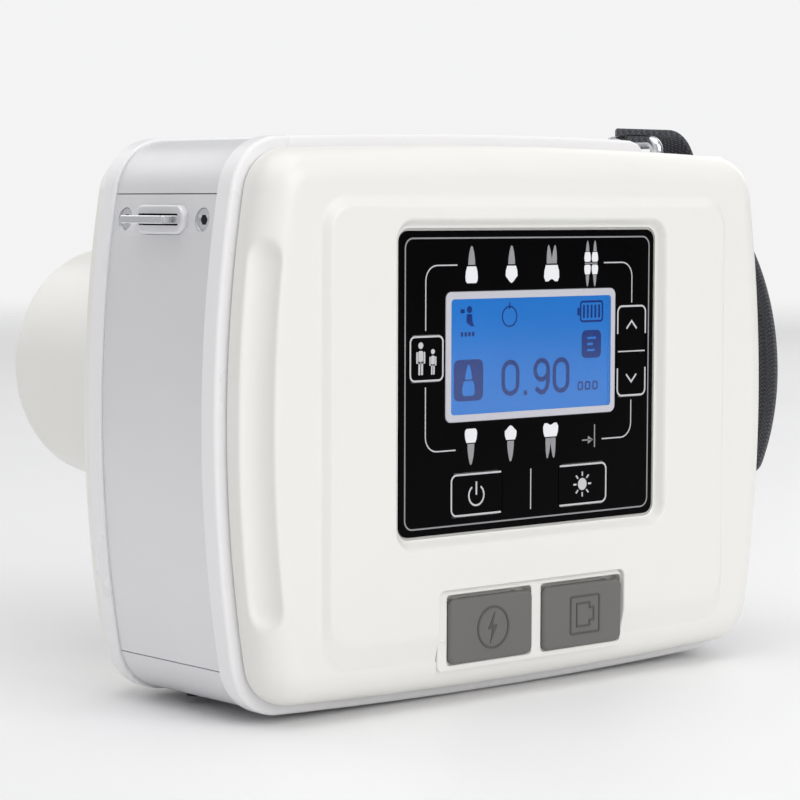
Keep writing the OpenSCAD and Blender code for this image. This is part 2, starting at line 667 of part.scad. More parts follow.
// ---- hand strap: arcs that meet, seen from the side as [x, height] ----
top_turn = 31.9;                     // here the pad's arc meets the straight webbing from the bend
low_turn = 36;
top_arc_r = 70;
low_arc_r = 60;
strap_mid_z = 5;
low_run = 19;                        // straight stretch down to the lower ring
top_end = [strap_reach - top_arc_r * (1 - cos(top_turn)), strap_mid_z + top_arc_r * sin(top_turn)];
low_end = [strap_reach - low_arc_r * (1 - cos(low_turn)), strap_mid_z - low_arc_r * sin(low_turn)];
low_dir = [-sin(low_turn), -cos(low_turn)];
low_out = [cos(low_turn), -sin(low_turn)];      // outward, square to that stretch
ring_low = low_end + low_dir * low_run - 4 * low_out;
over_z = ring_top[1] + ring_r + web_t;          // top of the webbing over the ring
bend_r = 11.5;
bend_c = [88, over_z - bend_r];

function pad_arc(inset, a0, a1, steps) =
    [for (i = [0:steps]) let (a = a0 + (a1 - a0) * i / steps, r = a > 0 ? top_arc_r : low_arc_r)
        [strap_reach - r + (r - inset) * cos(a), strap_mid_z + (r - inset) * sin(a)]];
function reversed(list) = [for (i = [len(list) - 1:-1:0]) list[i]];
pad_low_a = -low_turn + 4;
pad_top_a = top_turn - 3;
module hand_strap_pad() color(fabric) {
    prism(-pad_w / 2, pad_w / 2) polygon(concat(pad_arc(0, pad_low_a, pad_top_a, 16),
                                                pad_arc(pad_t, pad_top_a, pad_low_a, 16)));
}
// the bend from the slope to the flat, the given depth under the strap's outer surface
function web_bend(inset) =
    [for (i = [0:5]) let (a = top_turn + (90 - top_turn) * i / 5) bend_c + (bend_r - inset) * [cos(a), sin(a)]];
function round_ring(centre, a0, a1) =
    [for (i = [0:12]) let (a = a0 + (a1 - a0) * i / 12) centre + (ring_r + web_t) * [cos(a), sin(a)]];

// the upper webbing: over the ring, folded at its end, and back round under the ring
tail_x = 64;                         // left end of the upper webbing
module strap_webbing_top() color(fabric) prism(-web_w / 2, web_w / 2) difference() {
    polygon(concat(pad_arc(0, pad_top_a + 0.1, top_turn, 2), web_bend(0),
                   [[tail_x + 3, over_z], [tail_x + 1, over_z - 1], [tail_x, 76.9], [ring_top[0] - 5.5, 76.9]],
                   round_ring(ring_top, 174, 390),
                   reversed(web_bend(web_t)), pad_arc(web_t, top_turn, pad_top_a + 0.1, 2)));
    translate(ring_top) circle(ring_r + 0.05);
}
// the stretch from the pad down to the lower ring, and the tail sewn back along its inside
module strap_webbing_bottom() color(fabric) prism(-web_w / 2, web_w / 2) difference() {
    polygon(concat(pad_arc(0, pad_low_a - 0.1, -low_turn, 2),
                   round_ring(ring_low, -low_turn, -low_turn - 180),
                   [low_end + low_dir * 5 - 2 * web_t * low_out, low_end + low_dir * 4 - web_t * low_out],
                   pad_arc(web_t, -low_turn, pad_low_a - 0.1, 2)));
    translate(ring_low) circle(ring_r + 0.05);
}

module staple(leg) {
    // a rod bent into a U: crossbar along Y, legs of the given length away from it
    bend = 2.6;                      // small enough that the crossbar is straight right across the webbing
    for (y = [-1, 1]) {
        translate([0, y * ring_leg_y, bend]) cylinder(h = leg - bend, r = ring_r);
        translate([0, y * (ring_leg_y - bend), bend]) rotate([0, 90, 0]) rotate([0, 0, y < 0 ? -90 : 0])
            rotate_extrude(angle = 90) translate([bend, 0]) circle(ring_r);
    }
    translate([0, bend - ring_leg_y, 0]) rotate([-90, 0, 0])
        cylinder(h = 2 * (ring_leg_y - bend), r = ring_r);
}
module strap_ring_top() color(steel)
    translate([ring_top[0], 0, ring_top[1] + zc]) rotate([0, 180, 0]) staple(ring_top[1] - 67.6);
module strap_ring_bottom() color(steel)
    translate([ring_low[0], 0, ring_low[1] + zc]) rotate([0, -90, 0]) staple(ring_low[0] - 91.6);

module rubber_feet() color("#2a2a2c")
    for (x = [-foot_x, foot_x], y = [-foot_y, foot_y]) rod_z(x, y, foot_r, -zc, foot_top_z);
module base_screws() color("#26272a") for (x = [-base_screw_x, base_screw_x]) {
    rod_z(x, base_screw_y, 2.6, screw_seat_z - 1.3, screw_seat_z);
    rod_z(x, base_screw_y, 1.25, screw_seat_z - 0.1, -65);
}

translate(home) mid_frame();
translate(home) side_panel();
translate(home) rear_flange();
translate(home) rear_cover();
translate(home) front_flange();
translate(home) front_cover();
translate(home) cone();
translate(home) cone_liner();
translate(home) cone_collar();
translate(home) beam_diaphragm();
translate(home) beam_filter();
translate(home) tube_tank();
translate(home) tank_lid();
translate(home) tube_envelope();
translate(home) tube_anode();
translate(home) tube_cathode();
translate(home) hv_transformer();
translate(home) chassis();
translate(home) battery_cells();
translate(home) battery_holder();
translate(home) hv_board();
translate(home) main_board();
translate(home) keypad_board();
translate(home) dome_switches();
translate(home) lcd_module();
translate(home) lcd_screen();
translate(home) lcd_bezel();
translate(home) lcd_window();
translate(home) control_label();
translate(home) patient_key();
translate(home) up_key();
translate(home) down_key();
translate(home) power_key();
translate(home) light_key();
translate(home) port_tray();
translate(home) charge_jack();
translate(home) switch_jack();
translate(home) charge_plug();
translate(home) switch_plug();
translate(home) buzzer();
translate(home) exposure_button();
translate(home) exposure_ring();
translate(home) exposure_spring();
translate(home) exposure_switch();
translate(home) lug_bezel();
translate(home) neck_strap_lug();
translate(home) panel_screws();
translate(home) housing_screws();
translate(home) strap_ring_top();
translate(home) strap_ring_bottom();
translate(home) strap_webbing_top();
translate(home) strap_webbing_bottom();
translate(home) hand_strap_pad();
translate(home) rubber_feet();
translate(home) base_screws();
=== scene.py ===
import math

import bmesh
import bpy
from mathutils import Matrix, Vector
from mathutils.geometry import delaunay_2d_cdt


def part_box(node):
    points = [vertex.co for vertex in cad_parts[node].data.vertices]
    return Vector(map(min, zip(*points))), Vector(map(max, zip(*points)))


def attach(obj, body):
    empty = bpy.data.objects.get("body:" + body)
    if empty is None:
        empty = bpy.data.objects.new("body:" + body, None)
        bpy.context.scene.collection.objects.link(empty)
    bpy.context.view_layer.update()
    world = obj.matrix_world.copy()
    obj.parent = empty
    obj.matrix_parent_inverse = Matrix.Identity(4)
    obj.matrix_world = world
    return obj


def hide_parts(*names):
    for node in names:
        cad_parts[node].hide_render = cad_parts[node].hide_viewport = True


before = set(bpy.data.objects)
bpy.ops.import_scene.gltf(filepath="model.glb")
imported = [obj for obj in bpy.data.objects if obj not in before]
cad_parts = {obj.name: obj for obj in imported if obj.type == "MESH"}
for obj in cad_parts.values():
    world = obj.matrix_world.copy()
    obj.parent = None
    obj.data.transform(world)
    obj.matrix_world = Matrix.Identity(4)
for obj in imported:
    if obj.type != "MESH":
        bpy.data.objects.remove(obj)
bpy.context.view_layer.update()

# Shapes are worked out in millimetres from the middle of the silver frame, with its height ZC.
MM = 0.001
body_lo, body_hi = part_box("mid_frame")
rear_lo, rear_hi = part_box("rear_flange")
HOME = Vector(((rear_lo.x + rear_hi.x) / 2, (body_lo.y + body_hi.y) / 2, 0)) / MM


def cad_box(node):
    """A CAD node's corners in millimetres: across and along from the body's middle, and up from the floor."""
    lo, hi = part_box(node)
    return lo / MM - HOME, hi / MM - HOME


def middle(node):
    """The middle of a CAD node across and up, from the middle of the body."""
    lo, hi = cad_box(node)
    return (lo.x + hi.x) / 2, (lo.z + hi.z) / 2 - ZC


flange_lo, flange_hi = cad_box("rear_flange")
HALF_W = (flange_hi.x - flange_lo.x) / 2
HALF_H = (flange_hi.z - flange_lo.z) / 2
ZC = (flange_hi.z + flange_lo.z) / 2
BAND_Y = -flange_hi.y                 # half the depth of the silver frame
FLANGE_Y = -flange_lo.y
PLATEAU_Y = -cad_box("rear_cover")[0].y
FACE_Y = cad_box("front_cover")[1].y
PLATEAU_H = PLATEAU_Y - FACE_Y
label_lo, label_hi = cad_box("control_label")
LABEL_Y = label_lo.y
LABEL_W, LABEL_H = label_hi.x - label_lo.x, label_hi.z - label_lo.z
LABEL_X, LABEL_Z = middle("control_label")

SIDE_R, CROWN_R, CORNER_R = 356.0, 2000.0, 16.0
FRAME_INSET = 0.8
COVER_INSET = 3.2
BEVEL_R = 9.0
WALL = 2.5
NOTCH_X, NOTCH_Z = 51.0, 72.2
SEAMS = (-63.2, 60.3)
SEAM_HALF = 0.15                      # half the width of a seam between frame and side panel
SIDE_FROM = -70                       # rays left of this are on the left side


# ---- mesh building ----------------------------------------------------------------------
class Build:
    """Collects points in millimetres and faces, then makes an object in metres."""

    def __init__(self):
        self.points, self.faces = [], []

    def add(self, points):
        start = len(self.points)
        self.points.extend(Vector(p) for p in points)
        return list(range(start, len(self.points)))

    def loft(self, a, b, closed=True):
        n = len(a)
        for i in range(n if closed else n - 1):
            j = (i + 1) % n
            self.faces.append((a[i], a[j], b[j], b[i]))

    def skin(self, rings):
        """Joins each ring of points to the next."""
        for a, b in zip(rings, rings[1:]):
            self.loft(a, b)

    def cap(self, loops, place, extra=()):
        """Fills the flat region inside loops[0] and outside the others. place gives a 3-D point from a flat
        one. Loops are lists of flat points or of (flat point, index of a point already made)."""
        flat, known, edges, rings = [], [], [], []
        for loop in list(loops) + list(extra):
            first = len(flat)
            for item in loop:
                has_index = isinstance(item[1], int)
                flat.append(Vector(item[0] if has_index else item))
                known.append(item[1] if has_index else None)
            count = len(loop)
            edges += [(first + i, first + (i + 1) % count) for i in range(count)]
            rings.append([flat[first + i] for i in range(count)])
        made = delaunay_2d_cdt(flat, edges, [], 0, 1e-5)
        index = {}
        for i, source in enumerate(made[3]):
            old = [known[s] for s in source if known[s] is not None]
            index[i] = old[0] if old else self.add([place(made[0][i])])[0]
        new = []
        for tri in made[2]:
            middle = sum((made[0][i] for i in tri), Vector((0, 0))) / 3
            if not inside(middle, rings[0]):
                continue
            if any(inside(middle, rings[k]) for k in range(1, len(loops))):
                continue
            new.append(tuple(index[i] for i in tri))
        self.faces += new
        return new

    def flat(self, ring):
        """A ring of point indices as a loop for cap."""
        return [(Vector((self.points[i].x, self.points[i].z)), i) for i in ring]

    def object(self, name, sharp=35, weighted=False, from_floor=False, uv=None):
        """Makes the object. With uv, each point's place on its cloth in millimetres, no points are joined."""
        mesh = bpy.data.meshes.new(name)
        shift = HOME + Vector((0, 0, 0 if from_floor else ZC))
        mesh.from_pydata([(p + shift) * MM for p in self.points], [], self.faces)
        if uv:
            layer = mesh.uv_layers.new(name="UVMap")
            for loop in mesh.loops:
                layer.data[loop.index].uv = [c * MM for c in uv[loop.vertex_index]]
        bm = bmesh.new()
        bm.from_mesh(mesh)
        if not uv:
            bmesh.ops.remove_doubles(bm, verts=bm.verts, dist=1e-7)
            bmesh.ops.delete(bm, geom=[v for v in bm.verts if not v.link_faces], context="VERTS")
        bmesh.ops.recalc_face_normals(bm, faces=bm.faces)
        bm.to_mesh(mesh)
        bm.free()
        for face in mesh.polygons:
            face.use_smooth = True
        mesh.set_sharp_from_angle(angle=math.radians(sharp))
        obj = bpy.data.objects.new(name, mesh)
        bpy.context.scene.collection.objects.link(obj)
        if weighted:
            weigh_normals(obj, 80)
        return obj


def weigh_normals(obj, weight):
    mod = obj.modifiers.new("normals", "WEIGHTED_NORMAL")
    mod.keep_sharp = True
    mod.weight = weight


def turned(r, degrees, cx=0.0, cz=0.0):
    """A flat point at an angle on a circle."""
    a = math.radians(degrees)
    return cx + r * math.cos(a), cz + r * math.sin(a)


def quarter_round(r, steps):
    """How far the points of a rounded edge lie in from its side and back from its front."""
    angles = [math.pi / 2 * i / steps for i in range(steps + 1)]
    return [(r * (1 - math.cos(a)), r * (1 - math.sin(a))) for a in angles]


def inside(p, ring):
    hit = False
    for i in range(len(ring)):
        a, b = ring[i], ring[i - 1]
        if (a.y > p.y) != (b.y > p.y) and p.x < (b.x - a.x) * (p.y - a.y) / (b.y - a.y) + a.x:
            hit = not hit
    return hit


def rounded(w, h, r, cx=0.0, cz=0.0, steps=8, straight=1):
    """A rectangle with round corners, anticlockwise, as flat points."""
    points = []
    for k, (sx, sz) in enumerate([(1, 1), (-1, 1), (-1, -1), (1, -1)]):
        for i in range(steps + 1):
            points.append(turned(r, 90 * (k + i / steps), cx + sx * (w / 2 - r), cz + sz * (h / 2 - r)))
    if straight == 1:
        return points
    dense = []
    for i, p in enumerate(points):
        q = points[(i + 1) % len(points)]
        n = straight if math.dist(p, q) > 4 * r * math.pi / 2 / steps else 1
        dense += [(p[0] + (q[0] - p[0]) * t / n, p[1] + (q[1] - p[1]) * t / n) for t in range(n)]
    return dense


def circle(cx, cz, r, steps=48):
    return [(cx + r * math.cos(2 * math.pi * i / steps), cz + r * math.sin(2 * math.pi * i / steps))
            for i in range(steps)]


def outside_by(p, w, h, r, cx, cz):
    """How far a flat point is outside a rounded rectangle; negative inside."""
    x, z = abs(p[0] - cx) - (w / 2 - r), abs(p[1] - cz) - (h / 2 - r)
    return math.hypot(max(x, 0), max(z, 0)) + min(max(x, z), 0) - r


def smooth(t):
    t = min(max(t, 0.0), 1.0)
    return t * t * (3 - 2 * t)


def body_rays(side=64, corner=20, crown=26):
    """Points round the body's outline with their outward directions, anticlockwise from +X."""
    side_cx, crown_cz = HALF_W - SIDE_R, HALF_H - CROWN_R
    d = math.hypot(side_cx, crown_cz)
    arm_s, arm_c = SIDE_R - CORNER_R, CROWN_R - CORNER_R
    along = (arm_s ** 2 - arm_c ** 2 + d ** 2) / (2 * d)
    across = math.sqrt(arm_s ** 2 - along ** 2)
    cx = side_cx + (-side_cx * along - crown_cz * across) / d
    cz = (crown_cz * along - side_cx * across) / d
    a0 = math.atan2(cz, cx - side_cx)
    a1 = math.atan2(cz - crown_cz, cx)
    quarter = []
    for c, r, start, end, n in (((side_cx, 0), SIDE_R, 0, a0, side), ((cx, cz), CORNER_R, a0, a1, corner),
                                ((0, crown_cz), CROWN_R, a1, math.pi / 2, crown)):
        for i in range(n):
            a = start + (end - start) * i / n
            u = Vector((math.cos(a), math.sin(a)))
            quarter.append((Vector(c) + r * u, u))
    quarter.append((Vector((0, HALF_H)), Vector((0, 1))))
    flip = [(Vector((-p.x, p.y)), Vector((-u.x, u.y))) for p, u in reversed(quarter[:-1])]
    upper = quarter + flip
    lower = [(Vector((p.x, -p.y)), Vector((u.x, -u.y))) for p, u in reversed(upper[1:-1])]
    return upper + lower


RAYS = body_rays()


def notch_top(x):
    return max(NOTCH_Z, HALF_H + NOTCH_X - x) if x > NOTCH_X else 1e9


def section(ray, profile, notch):
    """The points of a profile of (inset, y) at one ray of the outline."""
    p, u = ray
    first = profile[0][0] if notch is None else notch
    out = []
    for inset, y in profile:
        q = p - inset * u
        z = q.y
        if notch is not None:
            z = min(z, notch_top(q.x) - (inset - first))
        out.append((q.x, y, z))
    return out


def sweep(build, rays, profile, closed, notch=None):
    rings = [build.add(section(r, profile, notch)) for r in rays]
    for i in range(len(rings) if closed else len(rings) - 1):
        build.loft(rings[i], rings[(i + 1) % len(rings)])
    if not closed:
        build.faces += [tuple(rings[0]), tuple(reversed(rings[-1]))]
    return rings


def at_height(z):
    """The ray where the left side crosses a height."""
    for (p, u), (q, v) in zip(RAYS, RAYS[1:] + RAYS[:1]):
        if p.x < -60 and (p.y - z) * (q.y - z) <= 0 and p.y != q.y:
            t = (z - p.y) / (q.y - p.y)
            return p.lerp(q, t), u.lerp(v, t).normalized()


def slab(build, loops, profile, place, end_caps=(True, True)):
    """A plate with rounded edges. loops[0] is its outside and the rest are holes; profile is a list of
    (shrink, depth) from back to front; place maps (flat point, depth) to 3-D."""
    levels = []
    for shrink, depth in profile:
        level = []
        for k, loop in enumerate(loops):
            ring = []
            for i, p in enumerate(loop):
                a, b = Vector(loop[i - 1]), Vector(loop[(i + 1) % len(loop)])
                n = Vector((b.y - a.y, a.x - b.x)).normalized()
                q = Vector(p) - n * (shrink if k == 0 else -shrink)
                ring.append((q, depth))
            level.append(ring)
        levels.append(level)
    index = [[build.add([place(q, d) for q, d in ring]) for ring in level] for level in levels]
    for k in range(len(loops)):
        build.skin([level[k] for level in index])
    for end, wanted in ((0, end_caps[0]), (-1, end_caps[1])):
        if wanted:
            depth = profile[end][1]
            flat = [[(q, i) for (q, _), i in zip(*both)] for both in zip(levels[end], index[end])]
            build.cap(flat, lambda f: place(f, depth))


def facing_rear(f, y):
    return (f[0], y, f[1])


def edge(r, y_back, y_front, steps=4, back_r=0.0):
    """A slab profile with a rounded front edge, and a small one at the back."""
    sign = 1 if y_front > y_back else -1
    out = [(back_r, y_back), (0.0, y_back + sign * back_r)] if back_r else [(0.0, y_back)]
    return out + [(shrink, y_front - sign * back) for shrink, back in quarter_round(r, steps)]


# ---- materials ----------------------------------------------------------------------------
def linear(r, g, b):
    """A colour of 0 to 255, as a screen shows it, in linear light."""
    return [c / 12.92 if c <= 0.04045 else ((c + 0.055) / 1.055) ** 2.4 for c in (r / 255, g / 255, b / 255)]


class Graph:
    def __init__(self, name):
        self.mat = bpy.data.materials.new(name)
        self.mat.use_nodes = True
        self.nodes, self.links = self.mat.node_tree.nodes, self.mat.node_tree.links
        self.shader = self.nodes["Principled BSDF"]
        self.coord = self.nodes.new("ShaderNodeTexCoord")

    def put(self, kind, inputs=None, **settings):
        node = self.nodes.new(kind)
        for key, value in settings.items():
            setattr(node, key, value)
        for key, value in (inputs or {}).items():
            if isinstance(value, bpy.types.NodeSocket):
                self.links.new(value, node.inputs[key])
            else:
                node.inputs[key].default_value = value
        return node

    def noise(self, scale, detail=3.0, source="Object", stretch=None, rough=0.5):
        vector = self.coord.outputs[source]
        if stretch:
            vector = self.put("ShaderNodeMapping", {"Vector": vector, "Scale": stretch}).outputs[0]
        return self.put("ShaderNodeTexNoise", {"Vector": vector, "Scale": scale, "Detail": detail,
                                               "Roughness": rough}).outputs["Fac"]

    def between(self, fac, a, b, lo=0.3, hi=0.7):
        ramp = self.put("ShaderNodeValToRGB", {"Fac": fac})
        ramp.color_ramp.elements[0].position, ramp.color_ramp.elements[1].position = lo, hi
        ramp.color_ramp.elements[0].color, ramp.color_ramp.elements[1].color = (*a, 1), (*b, 1)
        return ramp.outputs["Color"]

    def range(self, fac, lo, hi):
        return self.put("ShaderNodeMapRange", {"Value": fac, "From Min": 0.3, "From Max": 0.7,
                                               "To Min": lo, "To Max": hi}).outputs["Result"]

    def bump(self, height, strength, distance, under=None):
        inputs = {"Height": height, "Strength": strength, "Distance": distance}
        if under:
            inputs["Normal"] = under
        return self.put("ShaderNodeBump", inputs).outputs["Normal"]

    def set(self, **sockets):
        for key, value in sockets.items():
            socket = self.shader.inputs[key.replace("_", " ")]
            if isinstance(value, bpy.types.NodeSocket):
                self.links.new(value, socket)
            else:
                socket.default_value = value
        return self


def shade(color, k):
    return [min(1.0, c * k) for c in color]


def moulded(name, rgb, rough=0.35, grain=0.12, spread=0.02, scale=900, level=0.5, metallic=0.0, coat=0.0,
            wear=0.0):
    """Plastic, rubber or metal: faint blotches, a fine grain, uneven gloss and lighter edges."""
    g = Graph(name)
    color = linear(*rgb)
    base = g.between(g.noise(14, 4), shade(color, 1 - spread), shade(color, 1 + spread))
    if wear:
        pointy = g.nodes.new("ShaderNodeNewGeometry").outputs["Pointiness"]
        edge_fac = g.put("ShaderNodeMapRange", {"Value": pointy, "From Min": 0.51, "From Max": 0.6,
                                                "To Min": 0.0, "To Max": wear}).outputs["Result"]
        base = g.put("ShaderNodeMixRGB", {"Fac": edge_fac, "Color1": base,
                                          "Color2": (*shade(color, 1.5), 1)}).outputs["Color"]
    g.set(Base_Color=base, Roughness=g.range(g.noise(60, 5), rough * 0.88, rough * 1.12),
          Normal=g.bump(g.noise(scale, 2), grain, 0.00005), Metallic=metallic,
          Specular_IOR_Level=level, Coat_Weight=coat, Coat_Roughness=0.12)
    return g.mat


def brushed(name, rgb, rough=0.3, stretch=(1, 60, 60), metallic=1.0, spread=0.06):
    g = Graph(name)
    color = linear(*rgb)
    lines = g.noise(60, 6, stretch=stretch, rough=0.7)
    g.set(Base_Color=g.between(lines, shade(color, 1 - spread), shade(color, 1 + spread)), Metallic=metallic,
          Roughness=g.range(lines, rough * 0.8, rough * 1.2), Normal=g.bump(lines, 0.08, 0.00005))
    return g.mat


def clear(name, tint, rough=0.03):
    g = Graph(name)
    g.set(Base_Color=(*tint, 1), Transmission_Weight=1.0, IOR=1.45,
          Roughness=g.range(g.noise(40), rough, rough * 1.6),
          Normal=g.bump(g.noise(300, 2), 0.02, 0.00002))
    return g.mat


def glowing(name, rgb, strength, spread=0.03, rough=0.4):
    g = Graph(name)
    color = linear(*rgb)
    glow = g.between(g.noise(25, 2), shade(color, 1 - spread), shade(color, 1 + spread))
    g.set(Base_Color=(*shade(color, 0.08), 1), Emission_Color=glow, Emission_Strength=strength,
          Specular_IOR_Level=0.1, Roughness=g.range(g.noise(90), rough, rough * 1.2))
    return g.mat


def cloth(name, rgb, fleck, pitch, strength=0.6, diagonal=0.0):
    """Woven or knitted cloth: rows of threads across UVs that are in millimetres."""
    g = Graph(name)
    color, light = linear(*rgb), linear(*fleck)
    turn = {"Vector": g.coord.outputs["UV"], "Rotation": (0, 0, diagonal)}
    uv = g.put("ShaderNodeMapping", turn).outputs[0]
    bands = {"Vector": uv, "Scale": 1000 * 0.314 / pitch, "Distortion": 1.2, "Detail": 2.0,
             "Detail Scale": 2.0}
    wave = {}
    for axis in "XY":
        node = g.put("ShaderNodeTexWave", bands, bands_direction=axis, wave_profile="SIN")
        wave[axis] = node.outputs["Fac"]
    weave = g.put("ShaderNodeMath", {0: wave["X"], 1: wave["Y"]}, operation="MULTIPLY").outputs[0]
    fuzz = g.noise(2600, 4, rough=0.7)
    both = g.put("ShaderNodeMath", {0: weave, 1: fuzz}, operation="ADD").outputs[0]
    tint = g.between(both, color, light, 0.35, 1.25)
    g.set(Base_Color=tint, Roughness=g.range(fuzz, 0.85, 0.98), Specular_IOR_Level=0.2, Sheen_Weight=0.25,
          Sheen_Roughness=0.5, Normal=g.bump(both, strength, 0.00025))
    return g.mat


white = moulded("shell_white_plastic", (238, 237, 232), rough=0.34, grain=0.10, spread=0.008)
cool_white = moulded("flange_plastic", (242, 241, 242), rough=0.3, grain=0.10, spread=0.008)
silver = moulded("satin_aluminium", (227, 227, 229), rough=0.4, grain=0.22, spread=0.012, scale=1600,
                 metallic=0.35)
lead = moulded("lead_sheet", (104, 108, 112), rough=0.55, grain=0.3, spread=0.08, metallic=0.6)
steel = brushed("brushed_steel", (196, 198, 202), rough=0.26)
bright_steel = brushed("bright_steel", (226, 227, 230), rough=0.2, metallic=0.9, spread=0.03)
black_metal = moulded("black_oxide", (34, 34, 36), rough=0.45, metallic=0.6, wear=0.4)
copper = brushed("varnished_copper", (184, 110, 62), rough=0.35, stretch=(60, 60, 3))
dark = moulded("black_moulding", (34, 35, 37), rough=0.5, grain=0.3, spread=0.06)
wrap = moulded("battery_wrap", (52, 104, 160), rough=0.3, spread=0.04)
board = moulded("circuit_board", (24, 84, 52), rough=0.4, spread=0.15, coat=0.3)
label_black = moulded("label_film", (3, 2, 3), rough=0.3, grain=0.05, spread=0.15, level=0.04)
rubber = moulded("port_rubber", (110, 109, 106), rough=0.55, grain=0.35, spread=0.03, level=0.35)
rubber_sign = moulded("port_rubber_sign", (88, 87, 84), rough=0.6, grain=0.35, spread=0.04, level=0.3)
orange = moulded("button_plastic", (222, 126, 36), rough=0.35, grain=0.15, spread=0.03)
foot_black = moulded("foot_rubber", (32, 32, 34), rough=0.7, grain=0.5, spread=0.1)
lcd_frame = moulded("lcd_frame_plastic", (198, 198, 206), rough=0.3, grain=0.06, spread=0.01)
# painted shade: near-black for the lug slot's floor and the screw sockets, where there is only shade
painted_shade_black = moulded("painted_shade_black", (22, 22, 24), rough=0.6, grain=0.1, spread=0.03, level=0.2)
ink_white = moulded("ink_white", (235, 236, 238), rough=0.45, grain=0.1, spread=0.02, level=0.3)
ink_light = moulded("ink_light", (200, 200, 203), rough=0.45, grain=0.1, spread=0.02, level=0.3)
ink_grey = moulded("ink_grey", (150, 150, 153), rough=0.45, grain=0.1, spread=0.03, level=0.3)
lcd_light = glowing("lcd_backlight", (28, 118, 206), 0.95)
lcd_dark = glowing("lcd_segment", (0, 58, 150), 0.6, spread=0.05)
glass = clear("tube_glass", (0.86, 0.93, 0.95))
acrylic = clear("window_acrylic", (0.98, 0.99, 1.0), 0.02)
pad_cloth = cloth("pad_knit", (46, 47, 51), (96, 97, 101), 0.9, 0.7, math.radians(45))
web_cloth = cloth("woven_webbing", (34, 35, 39), (82, 83, 88), 1.3, 1.0, math.radians(30))
thread = moulded("stitch_thread", (70, 71, 75), rough=0.8, grain=0.6, spread=0.15)

NODE_MATERIALS = {
    white: ["cone", "cone_collar", "port_tray", "rear_cover", "front_cover"],
    silver: ["beam_filter", "tube_tank", "exposure_ring", "side_panel", "mid_frame", "lug_bezel"],
    lead: ["cone_liner", "beam_diaphragm"],
    steel: ["tank_lid", "tube_cathode", "chassis", "dome_switches", "lcd_module", "exposure_spring"],
    bright_steel: ["neck_strap_lug", "panel_screws", "housing_screws", "strap_ring_top", "strap_ring_bottom"],
    copper: ["tube_anode", "hv_transformer"],
    dark: ["battery_holder", "charge_jack", "switch_jack", "buzzer", "exposure_switch"],
    wrap: ["battery_cells"],
    board: ["hv_board", "main_board", "keypad_board"],
    label_black: ["control_label", "patient_key", "up_key", "down_key", "power_key", "light_key"],
    rubber: ["charge_plug", "switch_plug"],
    orange: ["exposure_button"],
    foot_black: ["rubber_feet"],
    black_metal: ["base_screws"],
    lcd_frame: ["lcd_bezel"],
    lcd_light: ["lcd_screen"],
    acrylic: ["lcd_window"],
    glass: ["tube_envelope"],
    pad_cloth: ["hand_strap_pad"],
    web_cloth: ["strap_webbing_top", "strap_webbing_bottom"],
    cool_white: ["rear_flange", "front_flange"],
}
for material, names in NODE_MATERIALS.items():
    for name in names:
        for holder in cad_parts[name].material_slots:
            holder.material = material


def dress(obj, material, slot, body="unit", replaces=()):
    obj.data.materials.append(material)
    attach(obj, body)
    if replaces:
        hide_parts(*replaces)
    return obj


# ---- the body's shells ----------------------------------------------------------------------
LUG_SCREW_Y = 17.0
SCREW_SEAT_R, SCREW_HOLE_R = 3.1, 1.7


def frame_profile(depth):
    """The section of the silver frame, as deep as asked, with its outer edges just rounded."""
    r = 0.35
    half = [(FRAME_INSET + depth, BAND_Y), (FRAME_INSET + r, BAND_Y), (FRAME_INSET, BAND_Y - r)]
    return half + [(inset, -y) for inset, y in reversed(half)]


def make_band():
    build = Build()
    bottom, top = SEAMS[0] - SEAM_HALF, SEAMS[1] + SEAM_HALF
    keep = [r for r in RAYS if not (r[0].x < SIDE_FROM and bottom <= r[0].y <= top)]
    start = next(i for i, r in enumerate(keep) if r[0].x < SIDE_FROM and r[0].y < SEAMS[0])
    run = [at_height(bottom)] + keep[start:] + keep[:start] + [at_height(top)]
    sweep(build, run, frame_profile(3), False, FRAME_INSET)
    dress(build.object("frame_band", weighted=True), silver, "frame_silver", replaces=["mid_frame"])


def panel_cutters():
    """Solids for the lug's openings in the side panel, and for its two screws."""
    lug_lo, lug_hi = cad_box("lug_bezel")
    lug_z = (lug_lo.z + lug_hi.z) / 2
    outside_x, inside_x = -110, -80
    cutters = []
    through, seat = rounded(20.2, 6.2, 3), rounded(21.8, 7.9, 3.9, steps=12)
    for shape, x_in in ((through, inside_x), (seat, lug_lo.x + 2.4)):
        cut = Build()
        slab(cut, [shape], [(0, outside_x), (0, x_in)], lambda f, d: (d, f[0], f[1] + lug_z))
        cutters.append(cut.object("cutter", from_floor=True))
    head_x = lug_lo.x + 2.6
    steps = ((outside_x, SCREW_SEAT_R), (head_x, SCREW_SEAT_R), (head_x + 1.4, SCREW_HOLE_R),
             (inside_x, SCREW_HOLE_R))
    for y in (-LUG_SCREW_Y, LUG_SCREW_Y):
        cut = Build()
        rings = [cut.add([(x, *p) for p in circle(y, lug_z, r)]) for x, r in steps]
        cut.skin(rings)
        cut.faces += [tuple(rings[0]), tuple(rings[-1])]
        cutters.append(cut.object("cutter", from_floor=True))
    return cutters


